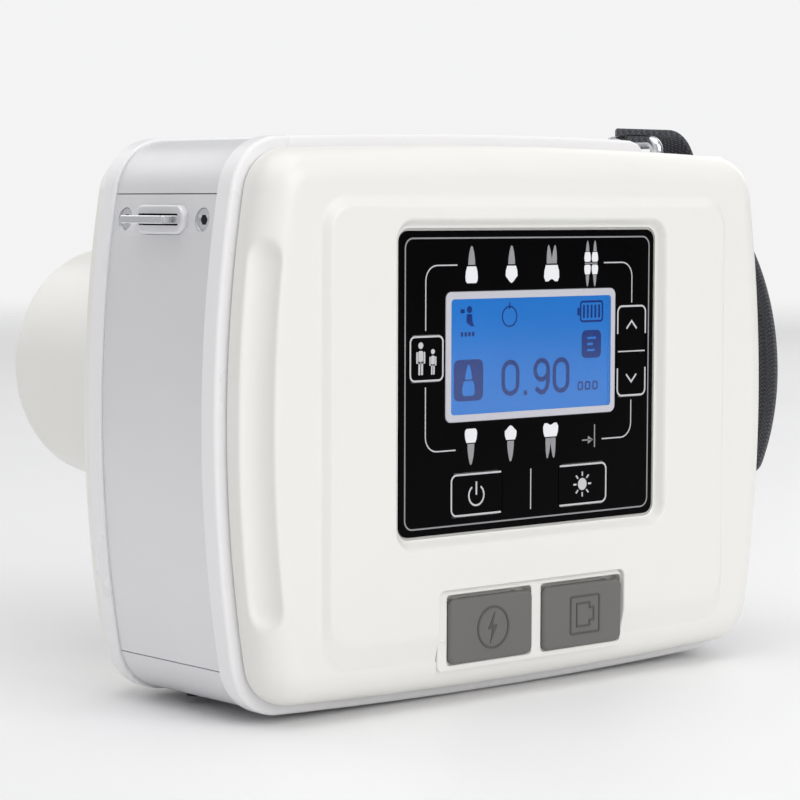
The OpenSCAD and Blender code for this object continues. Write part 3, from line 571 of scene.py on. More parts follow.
def make_side_panel():
    build = Build()
    low, high = at_height(SEAMS[0] + SEAM_HALF), at_height(SEAMS[1] - SEAM_HALF)
    bottom, top = SEAMS[0] + 2 * SEAM_HALF, SEAMS[1] - 2 * SEAM_HALF
    between = [r for r in RAYS if r[0].x < SIDE_FROM and bottom < r[0].y < top]
    sweep(build, [high] + between + [low], frame_profile(2.5), False)
    panel = build.object("side_plate", weighted=True)
    cutters = panel_cutters()
    for cutter in cutters:
        mod = panel.modifiers.new("cut", "BOOLEAN")
        mod.object, mod.operation, mod.solver = cutter, "DIFFERENCE", "EXACT"
    panel.modifiers.move(0, len(panel.modifiers) - 1)
    made = bpy.data.meshes.new_from_object(panel.evaluated_get(bpy.context.evaluated_depsgraph_get()))
    panel.modifiers.clear()
    panel.data = made
    for cutter in cutters:
        bpy.data.objects.remove(cutter)
    made.set_sharp_from_angle(angle=math.radians(30))
    weigh_normals(panel, 50)
    dress(panel, silver, "frame_silver", replaces=["side_panel"])


def make_flange(name, side, node):
    """side is -1 for the rear flange and 1 for the front one."""
    build = Build()
    outer, inner = side * FLANGE_Y, side * BAND_Y
    depth, r_out, r_in = 6.2, 1.1, 0.5
    profile = [(depth, inner), (r_in, inner)]
    profile += [(shrink, inner + side * rise) for rise, shrink in quarter_round(r_in, 3)[1:]]
    profile += [(shrink, outer - side * back) for shrink, back in quarter_round(r_out, 6)]
    profile.append((depth, outer))
    sweep(build, RAYS, profile, True, 0.0)
    dress(build.object(name, weighted=True), cool_white, "flange_white", replaces=[node])


GROOVE_R, GROOVE_HALF, GROOVE_MID, GROOVE_SOFT = 7.0, 44.5, -0.8, 0.5
GROOVE_OUT = 13.3 * math.cos(math.pi / 4)
GROOVE_X = -(HALF_W - COVER_INSET - BEVEL_R) - GROOVE_OUT
GROOVE_Y = -(FACE_Y - BEVEL_R) - GROOVE_OUT
VALLEY = 1.3                         # rounding at the foot of a cover, where it meets its flange
CONE_HOLE_R, SHOT_HOLE_R, COVER_SCREW_R = 36.2, 8.1, 3.2


def groove_gap(p):
    """Distance from a point to the thumb groove's round cutter, negative inside it."""
    z = min(max(p.z, GROOVE_MID - GROOVE_HALF), GROOVE_MID + GROOVE_HALF)
    bow = SIDE_R - math.sqrt(SIDE_R ** 2 - z ** 2)           # the groove follows the bowed side
    return (p - Vector((GROOVE_X + bow, GROOVE_Y, z))).length - GROOVE_R


def grooved(p, n):
    """The point moved into the shell until it lies on the groove, with a soft edge."""
    def level(t):
        a, b = -t, -groove_gap(p - t * n)
        h = max(GROOVE_SOFT - abs(a - b), 0) / GROOVE_SOFT
        return max(a, b) + h * h * GROOVE_SOFT / 4
    if level(0) <= 1e-6:
        return p
    lo, hi = 0.0, 5.0
    for _ in range(24):
        mid = (lo + hi) / 2
        lo, hi = (mid, hi) if level(mid) > 0 else (lo, mid)
    return p - lo * n


PORT = dict(w=70.0, h=22.0, r=1.8, cx=-1.4, cz=-56.4)
LABEL_CUT = dict(w=LABEL_W + 1.4, h=LABEL_H + 1.4, r=3.5, cx=LABEL_X, cz=LABEL_Z)
PLATEAU_FOOT = dict(w=152, h=123.5, r=9, cx=0, cz=-1.8)
PLATEAU_TOP = dict(w=148, h=114, r=7, cx=0, cz=0)
CHAMFER = 2.8
LIP = 0.5
INNER_Y = FACE_Y - WALL              # inside of a cover's face


def grown(rect, by):
    return rounded(rect["w"] + 2 * by, rect["h"] + 2 * by, rect["r"] + by, rect["cx"], rect["cz"],
                   steps=10, straight=14)


def plateau_loop(t):
    """The raised panel's edge, from its foot at 0 to its top at 1."""
    size = {k: foot + (PLATEAU_TOP[k] - foot) * t for k, foot in PLATEAU_FOOT.items()}
    return rounded(**size, steps=12, straight=24)


def plateau_part(p):
    """Where a point is on the slope: 0 at the foot and outside, 1 at the top."""
    foot = outside_by(p, **PLATEAU_FOOT)
    top = outside_by(p, **PLATEAU_TOP)
    if foot >= 0:
        return -foot / 3
    return 1 + min(-top, 6) / 6 if top <= 0 else -foot / (-foot + top)


def face_height(p):
    """How far the rear cover's face stands out at a flat point."""
    t = plateau_part(p)
    soft = 0.22
    rise = PLATEAU_H * (smooth((t + soft) / (1 + 2 * soft)) * 0.5 + min(max(t, 0), 1) * 0.5)
    port = outside_by(p, **PORT)
    if port < LIP:
        k = min(max(1 - port / LIP, 0), 1)
        rise -= LIP * (1 - math.sqrt(max(1 - k * k, 0)))
    label = outside_by(p, **LABEL_CUT)
    if label < CHAMFER + 0.5:
        floor_y = -LABEL_Y - FACE_Y
        t = min(max(label / CHAMFER, 0), 1)
        soft_t = t - 0.09 * math.sin(2 * math.pi * t) if t < 1 else 1
        rise = floor_y + (rise - floor_y) * soft_t
    return rise


def dome_profile(inset, face, r, steps=44):
    return [(inset + side, face - back) for side, back in quarter_round(r, steps)]


def hole_rings(faces, outside):
    """The borders of a flat region's holes, as rings of point indices. outside is the region's own border."""
    count = {}
    for face in faces:
        for i in range(3):
            key = frozenset((face[i], face[(i + 1) % 3]))
            count[key] = count.get(key, 0) + 1
    follow = {}
    for key, n in count.items():
        if n == 1 and not key <= outside:
            a, b = key
            follow.setdefault(a, []).append(b)
            follow.setdefault(b, []).append(a)
    rings, seen = [], set()
    for start in follow:
        if start in seen:
            continue
        ring, at, before = [start], start, None
        seen.add(start)
        while True:
            step = [n for n in follow[at] if n != before and n not in seen]
            if not step:
                break
            before, at = at, step[0]
            ring.append(at)
            seen.add(at)
        rings.append(ring)
    return rings


def rear_face():
    """The rear face's holes, the loops its points lie on, and its shape."""
    extra = [plateau_loop(t) for t in (-0.2, -0.08, 0.04, 0.2, 0.4, 0.6, 0.8, 0.96, 1.08, 1.2)]
    extra += [grown(PORT, d) for d in (0.1, 0.3, 0.6, LIP)]
    extra += [grown(LABEL_CUT, d) for d in (0.15, 0.5, 1.0, 1.6, 2.2, 2.6, CHAMFER, CHAMFER + 0.4)]
    return [grown(LABEL_CUT, 0), grown(PORT, 0)], extra, lambda f: (f.x, -FACE_Y - face_height(f), f.y)


def front_face():
    """The same for the front face: holes for the cone, the exposure button and four screws."""
    holes = [(middle("cone"), CONE_HOLE_R), (middle("exposure_ring"), SHOT_HOLE_R)]
    holes += [((x, z), COVER_SCREW_R) for x in (-72, 72) for z in (-55, 55)]
    soft = 0.5

    def place(f):
        near = min(math.dist(f, c) - r for c, r in holes)
        k = min(max(1 - near / soft, 0), 1)
        return (f.x, FACE_Y - soft * (1 - math.sqrt(1 - k * k)), f.y)

    extra = [circle(*c, r + d, 64) for c, r in holes for d in (0.12, 0.3, soft)]
    return [circle(*c, r, 64) for c, r in holes], extra, place


def make_cover(name, node, side):
    """side -1 is the rear cover, with panel, label and ports; side 1 the front one."""
    build = Build()

    def around(inset, y):
        return [Vector((p.x - inset * u.x, side * y, p.y - inset * u.y)) for p, u in RAYS]

    foot = [(COVER_INSET + shrink, FLANGE_Y + rise) for rise, shrink in quarter_round(VALLEY, 6)]
    rings = [build.add(around(inset, y)) for inset, y in foot]
    outer = dome_profile(COVER_INSET, FACE_Y, BEVEL_R)
    for k, (inset, y) in enumerate(outer):
        a = math.pi / 2 * k / (len(outer) - 1)
        ring = []
        for q, (_, u) in zip(around(inset, y), RAYS):
            n = Vector((math.cos(a) * u.x, side * math.sin(a), math.cos(a) * u.y))
            ring.append(grooved(q, n) if side < 0 and q.x < -60 else q)
        rings.append(build.add(ring))
    build.skin(rings)
    holes, extra, place = rear_face() if side < 0 else front_face()
    faces = build.cap([build.flat(rings[-1])] + holes, place, extra)
    # the label's seat and the four screws' are blind; the other holes go through
    seat_y = LABEL_Y + 0.8 if side < 0 else FACE_Y - 2.2
    open_rings = []
    for ring in hole_rings(faces, set(rings[-1])):
        centre = sum((build.points[i] for i in ring), Vector()) / len(ring)
        blind = side < 0 and abs(centre.z - LABEL_Z) < 5 or side > 0 and abs(centre.x) > 65
        depth = seat_y if blind else side * INNER_Y
        low = build.add([(build.points[i].x, depth, build.points[i].z) for i in ring])
        build.loft(ring, low)
        window = []
        if not blind:
            open_rings.append(low)
        elif side < 0:
            top, base = (build.add([(x, y, z) for x, z in lcd_hole()]) for y in (depth, side * INNER_Y))
            build.loft(top, base)
            open_rings.append(base)
            window = [build.flat(top)]
        if blind:
            build.cap([build.flat(low)] + window, lambda f: (f.x, depth, f.y))
    inner = [(COVER_INSET + WALL, FLANGE_Y)] + dome_profile(COVER_INSET + WALL, INNER_Y, BEVEL_R, 10)
    back = [build.add(around(inset, y)) for inset, y in inner]
    build.loft(rings[0], back[0])
    build.skin(back)
    build.cap([build.flat(r) for r in [back[-1]] + open_rings], lambda f: (f.x, side * INNER_Y, f.y))
    dress(build.object(name, weighted=True), white, "shell_white", replaces=[node])


def lcd_hole():
    lo, hi = cad_box("lcd_bezel")
    gap = 0.3
    return rounded(hi.x - lo.x + gap, hi.z - lo.z + gap, 2, *middle("lcd_bezel"))


make_band()
make_side_panel()
make_flange("flange_rear", -1, "rear_flange")
make_flange("flange_front", 1, "front_flange")
make_cover("shell_rear", "rear_cover", -1)
make_cover("shell_front", "front_cover", 1)


# ---- lens frame, lug and flaps --------------------------------------------------------------
def make_lcd_frame():
    lo, hi = cad_box("lcd_bezel")
    view_lo, view_hi = cad_box("lcd_window")
    at, gap = middle("lcd_bezel"), 0.2
    view = rounded(view_hi.x - view_lo.x + gap, view_hi.z - view_lo.z + gap, 1.4, *at)
    build = Build()
    slab(build, [rounded(hi.x - lo.x, hi.z - lo.z, 2, *at), view[::-1]], edge(0.35, hi.y, lo.y), facing_rear)
    dress(build.object("lcd_surround"), lcd_frame, "lcd_frame_grey", replaces=["lcd_bezel"])


def make_lug_surround(face, side):
    """The lug's bezel, plus black plates painted in as the shade inside its slot and in the screws' hex
    sockets. face is its outer face.
    """
    build = Build()
    outer = rounded(21.6, 7.7, 3.7, steps=14)
    hole = rounded(19.3, 4.6, 1.6, steps=6)
    slab(build, [outer, hole[::-1]], edge(0.75, face + 2.4, face, 5), side)
    dress(build.object("lug_surround", from_floor=True), silver, "frame_silver", replaces=["lug_bezel"])
    # painted shade: a thin black plate behind the slot's opening, and black hexagons just in front of the
    # screws' heads, where their sockets' shade falls
    dark = Build()
    slab(dark, [rounded(19.8, 5.2, 2)], [(0, face + 1.9), (0, face + 2.2)], side)
    for y in (-LUG_SCREW_Y, LUG_SCREW_Y):
        slab(dark, [circle(y, 0, 1.45, 6)], [(0, face + 2.27), (0, face + 2.5)], side)
    dress(dark.object("lug_slot_and_socket_painted_shade", from_floor=True), painted_shade_black, "inner_black")


def make_lug():
    lo, hi = cad_box("lug_bezel")
    z = (lo.z + hi.z) / 2
    side = lambda f, d: (d, f[0], f[1] + z)
    make_lug_surround(lo.x, side)
    build = Build()
    tip, root, half, corner_r = cad_box("neck_strap_lug")[0].x, lo.x + 6, 9.5, 0.8
    corner = [(tip + along, half - across) for along, across in quarter_round(corner_r, 6)]
    shape = [(x, -y) for x, y in corner] + [(root, -half), (root, half)] + corner[::-1]
    slot = rounded(2.6, 14.6, 1.29, lo.x - 3.1, 0)
    t, round_r = 1.05, 0.22
    slab(build, [shape, slot[::-1]], [(round_r, -t), (0, -t + round_r), (0, t - round_r), (round_r, t)],
         lambda f, d: (f[0], f[1], d + z))
    back = Build()
    slab(back, [rounded(42, 10, 1)], [(0, lo.x + 5.4), (0, lo.x + 7)], side)
    shift = build.add(back.points)[0]
    build.faces += [tuple(i + shift for i in f) for f in back.faces]
    dress(build.object("lug_plate", from_floor=True), bright_steel, "steel", replaces=["neck_strap_lug"])


def ribbon(points, width, closed=False):
    """Left and right edges of a line of the given width."""
    pts = [Vector(p) for p in points]
    n = len(pts)
    left, right = [], []
    for i, p in enumerate(pts):
        a = pts[i - 1] if (i > 0 or closed) else None
        b = pts[(i + 1) % n] if (i < n - 1 or closed) else None
        u = (p - a).normalized() if a is not None else None
        v = (b - p).normalized() if b is not None else None
        u, v = u or v, v or u
        m = (u + v)
        m = m.normalized() if m.length > 1e-6 else u
        normal = Vector((-m.y, m.x))
        k = min(1 / max(normal.dot(Vector((-u.y, u.x))), 0.5), 1.6)
        left.append(p + normal * width / 2 * k)
        right.append(p - normal * width / 2 * k)
    return left, right


class Print:
    """Thin raised artwork on a face at depth y, drawn in millimetres right and down from a corner."""

    def __init__(self, y, x0, z0, height=0.05):
        self.build, self.y, self.x0, self.z0, self.height = Build(), y, x0, z0, height

    def at(self, p, front):
        return (self.x0 + p[0], self.y - (self.height if front else 0), self.z0 - p[1])

    def line(self, points, width, closed=False):
        left, right = ribbon(points, width, closed)
        rings = [self.build.add([self.at(a, False), self.at(b, False), self.at(b, True), self.at(a, True)])
                 for a, b in zip(left, right)]
        for i in range(len(rings) if closed else len(rings) - 1):
            self.build.loft(rings[i], rings[(i + 1) % len(rings)])
        if not closed:
            self.build.faces += [tuple(rings[0]), tuple(reversed(rings[-1]))]

    def fill(self, points):
        back = self.build.add([self.at(p, False) for p in points])
        front = self.build.add([self.at(p, True) for p in points])
        self.build.loft(back, front)
        self.build.faces += [tuple(reversed(back)), tuple(front)]

    def box(self, s, d, w, h, width, r=1.5):
        self.line(rounded(w, h, r, s, d, steps=6), width, True)

    def block(self, s, d, w, h, r=0.0):
        sharp = [(s + sx * w / 2, d + sd * h / 2) for sx, sd in ((-1, -1), (1, -1), (1, 1), (-1, 1))]
        self.fill(rounded(w, h, r, s, d, steps=4) if r else sharp)

    def disc(self, s, d, r):
        self.fill(circle(s, d, r, 28))

    def arc(self, s, d, r, a0, a1, width, steps=28):
        self.line([turned(r, a0 + (a1 - a0) * i / steps, s, d) for i in range(steps + 1)], width)

    def object(self, name, material, slot, body="unit"):
        return dress(self.build.object(name, sharp=30), material, slot, body)


HINGE_IN, HINGE_DOWN = 1.7, 0.9      # a flap's axis, behind its face and below its top
PINTLE_R, KNUCKLE_R = 0.5, 0.9


def make_flap(node, body, jack):
    """A rubber flap with its boss and hinge. Returns its front and middle."""
    lo, hi = cad_box(node)
    x, z = middle(node)
    w, h = hi.x - lo.x, hi.z - lo.z
    build = Build()
    slab(build, [rounded(w, h, 2.2, x, z, steps=10)], edge(1.1, lo.y + 1.5, lo.y, 6, 0.15), facing_rear)
    at = middle(jack)
    boss = circle(*at, 4.2, 32) if jack == "charge_jack" else rounded(11.4, 7.6, 0.8, *at)
    slab(build, [boss], edge(0.5, lo.y + 1.3, hi.y, 3), facing_rear)
    axis = lo.y + HINGE_IN, z + h / 2 - HINGE_DOWN
    for inset, r in ((2.6, PINTLE_R), (4.7, KNUCKLE_R)):
        ends = [build.add([(end, *p) for p in circle(*axis, r, 24)]) for end in (lo.x + inset, hi.x - inset)]
        build.loft(*ends)
        build.faces += [tuple(ends[0]), tuple(reversed(ends[1]))]
    dress(build.object(body + "_rubber", weighted=True), rubber, "plug_rubber", body, [node])
    return lo.y, x, z


def flap_sign(face, x, z):
    """Raised artwork on a flap, drawn from its middle."""
    return Print(face + 0.12, x, z, 0.3)


def make_flaps():
    charge = flap_sign(*make_flap("charge_plug", "charge_flap", "charge_jack"))
    charge.arc(0.4, 0, 5.6, 0, 360, 0.55, 48)
    charge.fill([(1.0, -4.2), (-1.5, 0.4), (0.1, 0.4), (-0.7, 4.3), (1.9, -0.7), (0.3, -0.7)])
    charge.object("charge_flap_sign", rubber_sign, "plug_rubber", "charge_flap")
    switch = flap_sign(*make_flap("switch_plug", "switch_flap", "switch_jack"))
    switch.box(0.6, 0, 11.2, 10.4, 0.55, 0.6)
    half = [(-2.6, 3.2), (2.4, 3.2), (2.4, 1.8), (4.0, 1.8)]
    switch.line([(-2.6, -3.2)] + half + [(s, -d) for s, d in half[:0:-1]], 0.5, True)
    switch.object("switch_flap_sign", rubber_sign, "plug_rubber", "switch_flap")


def port_pockets():
    """The two rooms in the rim for the flaps, with more above each for its top edge to swing through."""
    gap, top_gap = 0.35, 1.2
    rim_end = PORT["cx"] + PORT["w"] / 2 - 0.3
    pockets = []
    for node in ("charge_plug", "switch_plug"):
        lo, hi = cad_box(node)
        left, right = lo.x - gap, min(hi.x + gap, rim_end)
        low, high = lo.z - ZC - gap, hi.z - ZC + top_gap
        pockets.append(rounded(right - left, high - low, 1.2, (left + right) / 2, (low + high) / 2)[::-1])
    return pockets


def make_port_rim():
    """The white rim round the flaps, with rounded edges and two pockets, and the pockets' floor."""
    at, corner_r = (PORT["cx"], PORT["cz"]), PORT["r"]
    rim_y, floor_y = -41.2, -INNER_Y
    build = Build()
    pockets = port_pockets()
    shape = rounded(PORT["w"] - 0.3, PORT["h"] - 0.3, corner_r - 0.1, *at)
    profile = [(0, floor_y)] + edge(0.12, floor_y, rim_y, 3)[1:]
    slab(build, [shape] + pockets, profile, facing_rear, (False, True))
    sockets = [circle(*middle("charge_jack"), 4.5, 32), rounded(12.0, 8.2, 1.0, *middle("switch_jack"))]
    tray = rounded(PORT["w"] - 0.1, PORT["h"] - 0.1, corner_r, *at)
    floor = [(0, floor_y + 0.02), (0, floor_y + 2.3)]
    slab(build, [tray] + [hole[::-1] for hole in sockets], floor, facing_rear)
    flap_lo, flap_hi = cad_box("charge_plug")
    hinge_y, hinge_z, half = flap_lo.y + HINGE_IN, flap_hi.z - ZC - HINGE_DOWN, 0.8
    for pocket in pockets:
        xs = [p[0] for p in pocket]
        for x in (min(xs) + 3.95, max(xs) - 3.95):
            slab(build, [rounded(1.8, 2 * half, 0.79)], [(0, x - half), (0, x + half)],
                 lambda f, d: (d, f[0] + hinge_y, f[1] + hinge_z))
            stem = [(y, hinge_z + up) for y, up in ((hinge_y, -half), (floor_y + 0.1, -half),
                                                    (floor_y + 0.1, half), (hinge_y, half))]
            slab(build, [stem], [(0, x - 0.75), (0, x + 0.75)], lambda f, d: (d, *f))
    dress(build.object("port_rim"), white, "shell_white", replaces=["port_tray"])


make_lcd_frame()
make_lug()
make_port_rim()
make_flaps()

# ---- printing on the label and its keys, in millimetres right and down from its corner ------
LEFT, TOP = label_lo.x, label_hi.z - ZC
KEY_BODIES = ["patient_key", "up_key", "down_key", "power_key", "light_key"]
FINE, MEDIUM = 0.34, 0.5


def new_print():
    return Print(LABEL_Y + 0.005, LEFT, TOP)


CROWNS = {
    "flat": [(0.72, 0.0), (0.92, 0.3), (1.0, 0.65), (0.93, 0.88), (0.7, 1.0), (0.0, 1.0)],
    "pointed": [(0.72, 0.0), (0.95, 0.3), (0.98, 0.62), (0.6, 0.8), (0.3, 0.96), (0.0, 1.04)],
    "double": [(0.78, 0.0), (0.96, 0.35), (1.0, 0.75), (0.8, 1.0), (0.45, 1.0), (0.15, 0.88), (0.0, 0.86)],
}
ROOT = [(0.56, 0.0), (0.52, 0.3), (0.38, 0.65), (0.16, 0.95), (0.0, 1.0)]


def tooth_part(outline, s, neck, tip, w, lean=0.0):
    """A crown or a root, from the tooth's neck to its tip, both distances down the label."""
    points = outline + [(-x, y) for x, y in reversed(outline[:-1])]
    return [(s + (x + lean * y) * w / 2, neck + y * (tip - neck)) for x, y in points]


def make_label_print():
    pale, light, grey = new_print(), new_print(), new_print()
    grey.box(LABEL_W / 2, LABEL_H / 2, LABEL_W - 3.6, LABEL_H - 4.0, 0.4, 2.6)
    for s, w, kind in ((25.4, 4.5, "flat"), (40.1, 4.5, "pointed"), (55.3, 5.8, "double")):
        pale.fill(tooth_part(CROWNS[kind], s, 9.6, 14.1, w))
        pale.fill(tooth_part(CROWNS[kind], s, 57.0, 53.2, w))
        two_roots = kind == "double"
        for lean in (-0.55, 0.55) if two_roots else (0.0,):
            at, root_w = s + lean * w * 0.28, w * (0.62 if two_roots else 1)
            grey.fill(tooth_part(ROOT, at, 9.2, 4.1, root_w, lean * 0.35))
            grey.fill(tooth_part(ROOT, at, 57.3, 63.0, root_w, lean * 0.35))
    for s in (69.2, 72.1):
        for neck, crown, tip in ((6.2, 8.9, 3.0), (12.4, 9.7, 15.8)):
            pale.fill(tooth_part(CROWNS["flat"], s, neck, crown, 2.5))
            grey.fill(tooth_part(ROOT, s, neck + (neck - crown) * 0.06, tip, 2.3))
    grey.line([(68.2, 9.3), (73.1, 9.3)], FINE)
    # lines that join the keys round the display
    left, right, top, low, r = 9.0, 87.0, 9.2, 58.7, 4.0

    def corner(s, d, a0):
        return [turned(r, a0 + 15 * i, s, d) for i in range(7)]

    light.line([(left, 26.4)] + corner(left + r, top + r, 180) + [(20.2, top)], FINE)
    light.line([(75.7, top)] + corner(right - r, top + r, -90) + [(right, 20.6)], FINE)
    light.line([(19.8, low)] + corner(left + r, low - r, 90) + [(left, 41.4)], FINE)
    light.line([(right, 48.2)] + corner(right - r, low - r, 0) + [(75.4, low)], FINE)
    light.line([(47.8, 65.4), (47.8, 76.6)], FINE)
    light.line([(81.6, 34.4), (92.5, 34.4)], FINE)
    # the sign for a sensor or film
    grey.line([(67.6, 58.7), (71.4, 58.7)], 0.36)
    grey.fill([(69.9, 57.6), (71.9, 58.7), (69.9, 59.8)])
    grey.line([(72.5, 54.5), (72.5, 60.9)], 0.4)
    pale.object("label_print_white", ink_white, "shell_white")
    light.object("label_print_lines", ink_light, "shell_white")
    grey.object("label_print_grey", ink_grey, "lcd_frame_grey")


def person(art, s, top, height):
    """A plain standing figure."""
    r = height * 0.1
    art.disc(s, top + r, r)
    w = height * 0.19
    shoulder = top + height * 0.26
    art.block(s, shoulder + height * 0.2, w, height * 0.4, w * 0.3)
    for side in (-1, 1):
        art.block(s + side * w * 0.29, shoulder + height * 0.53, w * 0.4, height * 0.42, w * 0.15)
        art.block(s + side * w * 0.78, shoulder + height * 0.21, w * 0.34, height * 0.36, w * 0.15)


def make_key_prints():
    art = {k: new_print() for k in KEY_BODIES}
    art["patient_key"].box(9.4, 33.8, 11.5, 11.7, MEDIUM, 1.5)
    person(art["patient_key"], 7.3, 29.4, 8.7)
    person(art["patient_key"], 11.6, 31.3, 6.8)
    for name, low, high, tip in (("up_key", 21.3, 34.1, -1), ("down_key", 34.7, 47.2, 1)):
        left, right = 81.45, 92.65
        end = (low + 0.3) if tip < 0 else (high - 0.3)
        stop = end - tip * 7.8
        arc = [(left + along, end - tip * back) for along, back in quarter_round(1.7, 6)]
        mirror = [(left + right - s, d) for s, d in reversed(arc)]
        art[name].line([(left, stop)] + arc + mirror + [(right, stop)], MEDIUM)
        mid = 26.9 if tip < 0 else 42.0
        art[name].line([(85.0, mid - tip * 1.1), (87.05, mid + tip * 1.1), (89.1, mid - tip * 1.1)], MEDIUM)
    for name, centre, open_side in (("power_key", 27.5, 1), ("light_key", 68.05, -1)):
        half, top, bottom = 9.1, 65.5, 76.5
        far = centre + open_side * half
        near = centre - open_side * half
        arc = [(near + open_side * along, top + back) for along, back in quarter_round(1.8, 6)]
        low = [(s, top + bottom - d) for s, d in arc]
        art[name].line([(far, bottom)] + list(reversed(low)) + arc + [(far, top)], MEDIUM)
    power, light = art["power_key"], art["light_key"]
    power.arc(27.5, 71.3, 2.75, -55, 235, 0.5)
    power.line([(27.5, 67.6), (27.5, 71.2)], 0.55)
    light.disc(67.8, 71.0, 1.7)
    for i in range(8):
        light.line([turned(r, 45 * i, 67.8, 71) for r in (2.3, 3.5)], 0.5)
    for name in KEY_BODIES:
        art[name].object(name + "_print", ink_light, "shell_white", name)


def digit_zero(art, s0, s1, d0, d1, width):
    w, h = s1 - s0 - width, d1 - d0 - width
    art.box((s0 + s1) / 2, (d0 + d1) / 2, w, h, width, w / 2 - 0.05)


def make_lcd_print():
    screen_y = cad_box("lcd_screen")[0].y
    art = Print(screen_y + 0.005, LEFT, TOP, 0.03)
    heavy = 1.3
    digit_zero(art, 37.3, 44.0, 35.2, 45.1, heavy)
    art.block(46.3, 44.5, 1.3, 1.3)
    s, r = 52.45, 2.5
    art.line([(s + r * math.cos(math.radians(15 * i)), 38.4 + 2.65 * math.sin(math.radians(15 * i)))
              for i in range(24)], heavy, True)
    art.line([(s + r, 38.4), (s + r, 41.4), (s + r - 0.5, 43.4), (s + r - 1.7, 44.5), (s - 0.4, 44.6),
              (s - r + 0.3, 43.4)], heavy)
    digit_zero(art, 56.7, 63.2, 35.2, 45.1, heavy)
    for k in range(3):                                         # the unit, as three plain marks
        art.box(67.5 + 2.9 * k, 43.5, 1.7, 2.0, 0.55, 0.5)
    art.arc(40.2, 23.4, 2.7, 0, 360, 0.42, 36)
    art.line([(40.2, 19.6), (40.2, 21.4)], 0.42)
    art.box(71.7, 22.75, 8.6, 5.5, 0.6, 0.8)
    art.block(66.6, 22.75, 0.9, 2.2, 0.2)
    for k in range(5):
        art.block(68.7 + 1.5 * k, 22.75, 0.75, 3.7)
    # a seated figure with a cone pointed at it
    art.disc(25.4, 21.2, 0.95)
    art.fill([(24.4, 22.4), (26.3, 22.4), (26.5, 24.4), (27.2, 25.7), (25.9, 25.7), (24.3, 24.6)])
    art.block(22.9, 21.6, 1.5, 1.1, 0.3)
    for k in range(4):
        art.block(22.7 + 1.35 * k, 27.8, 0.9, 1.2, 0.2)
    key = Print(screen_y + 0.005, LEFT, TOP, 0.02)
    key.block(71.75, 31.9, 7.7, 7.8, 1.6)
    key.block(25.15, 40.2, 10.7, 11.2, 1.8)
    marks = Print(screen_y - 0.02, LEFT, TOP, 0.02)
    for k, w in enumerate((3.4, 2.2, 2.9)):
        marks.block(70.1 + w / 2, 30.2 + 1.7 * k, w, 0.6)
    marks.fill(tooth_part(CROWNS["flat"], 25.15, 40.4, 44.4, 4.6))
    marks.fill(tooth_part(ROOT, 25.15, 40.0, 36.0, 4.4))
    art.object("lcd_segments", lcd_dark, "lcd_blue")
    key.object("lcd_keys", lcd_dark, "lcd_blue")
    marks.object("lcd_key_marks", lcd_light, "lcd_blue")


make_label_print()
make_key_prints()
make_lcd_print()

# ---- hand strap -----------------------------------------------------------------------------
pad_lo, pad_hi = cad_box("hand_strap_pad")
PAD_X, PAD_W, PAD_T = pad_hi.x, pad_hi.y - pad_lo.y, 4.0
web_lo, web_hi = cad_box("strap_webbing_top")
WEB_W, WEB_T = web_hi.y - web_lo.y, 2.0
TOP_R, LOW_R, MID_Z, TOP_TURN, LOW_TURN = 70.0, 60.0, 5.0, 31.9, 36.0
ring_lo, ring_hi = cad_box("strap_ring_top")
RING_TOP = Vector(((ring_lo.x + ring_hi.x) / 2, ring_hi.z - ZC - 2))
TAIL_X = 65.0
PAD_RISE = 7.0                       # how far the pad runs up the straight webbing
BEND_R = 11.5
OVER_Z = RING_TOP.y + 2.0 + WEB_T
BEND_C = Vector((88.0, OVER_Z - BEND_R))
LOW_A = 4 - LOW_TURN                 # angle of the pad's lower end
LOW_RUN, LOW_FOLD = 19.0, 13.5       # the lower webbing, straight to its ring and then back
LOW_RING_R = 2.05                    # inside of the webbing's turn round its ring
CUT_SLANT = 14.5                     # how far the upper webbing's cut end slants
CHANNEL = 3.2                        # how far the sewn channel is from the pad's edge


def strap_point(a, inset):
    """A point on the strap's arcs, by angle, the given depth under its outer surface."""
    r = TOP_R if a > 0 else LOW_R
    t = math.radians(a)
    return Vector((PAD_X - r + (r - inset) * math.cos(t), MID_Z + (r - inset) * math.sin(t)))


def swept_strap(name, path, width, section_of, cut_start=0.0):
    """A strap along a flat path in x and z. section_of(v) gives (across, out) points at a place along it."""
    build = Build()
    lengths = [0.0]
    for a, b in zip(path, path[1:]):
        lengths.append(lengths[-1] + (b - a).length)
    rings, uv = [], []
    for i, p in enumerate(path):
        u = (path[min(i + 1, len(path) - 1)] - path[max(i - 1, 0)]).normalized()
        out = Vector((u.y, -u.x))
        ring, uvs = [], []
        for y, h in section_of(lengths[i], lengths[-1]):
            slant = cut_start * (y / width + 0.5) * max(0.0, 1 - lengths[i] / (1.5 * cut_start + 1))
            q = p + out * h + u * slant
            ring.append((q.x, y, q.y))
            uvs.append((y + 0.7 * h, lengths[i] + h))
        rings.append(build.add(ring))
        uv += uvs
    build.skin(rings)
    build.faces += [tuple(reversed(rings[0])), tuple(rings[-1])]
    return build.object(name, sharp=50, uv=uv)


def web_section(place, total):
    """The webbing's section, the same all along."""
    return rounded(WEB_W, WEB_T - 0.1, 0.7, steps=4)


def pad_half(v, total):
    """Half the pad's width: full in the middle, rounded down to the webbing at both ends."""
    t = 1 - min(min(v, total - v) / 4, 1)
    full = PAD_W / 2 - 0.2
    return full - 3.5 * (1 - math.sqrt(max(0.0, 1 - t * t)))


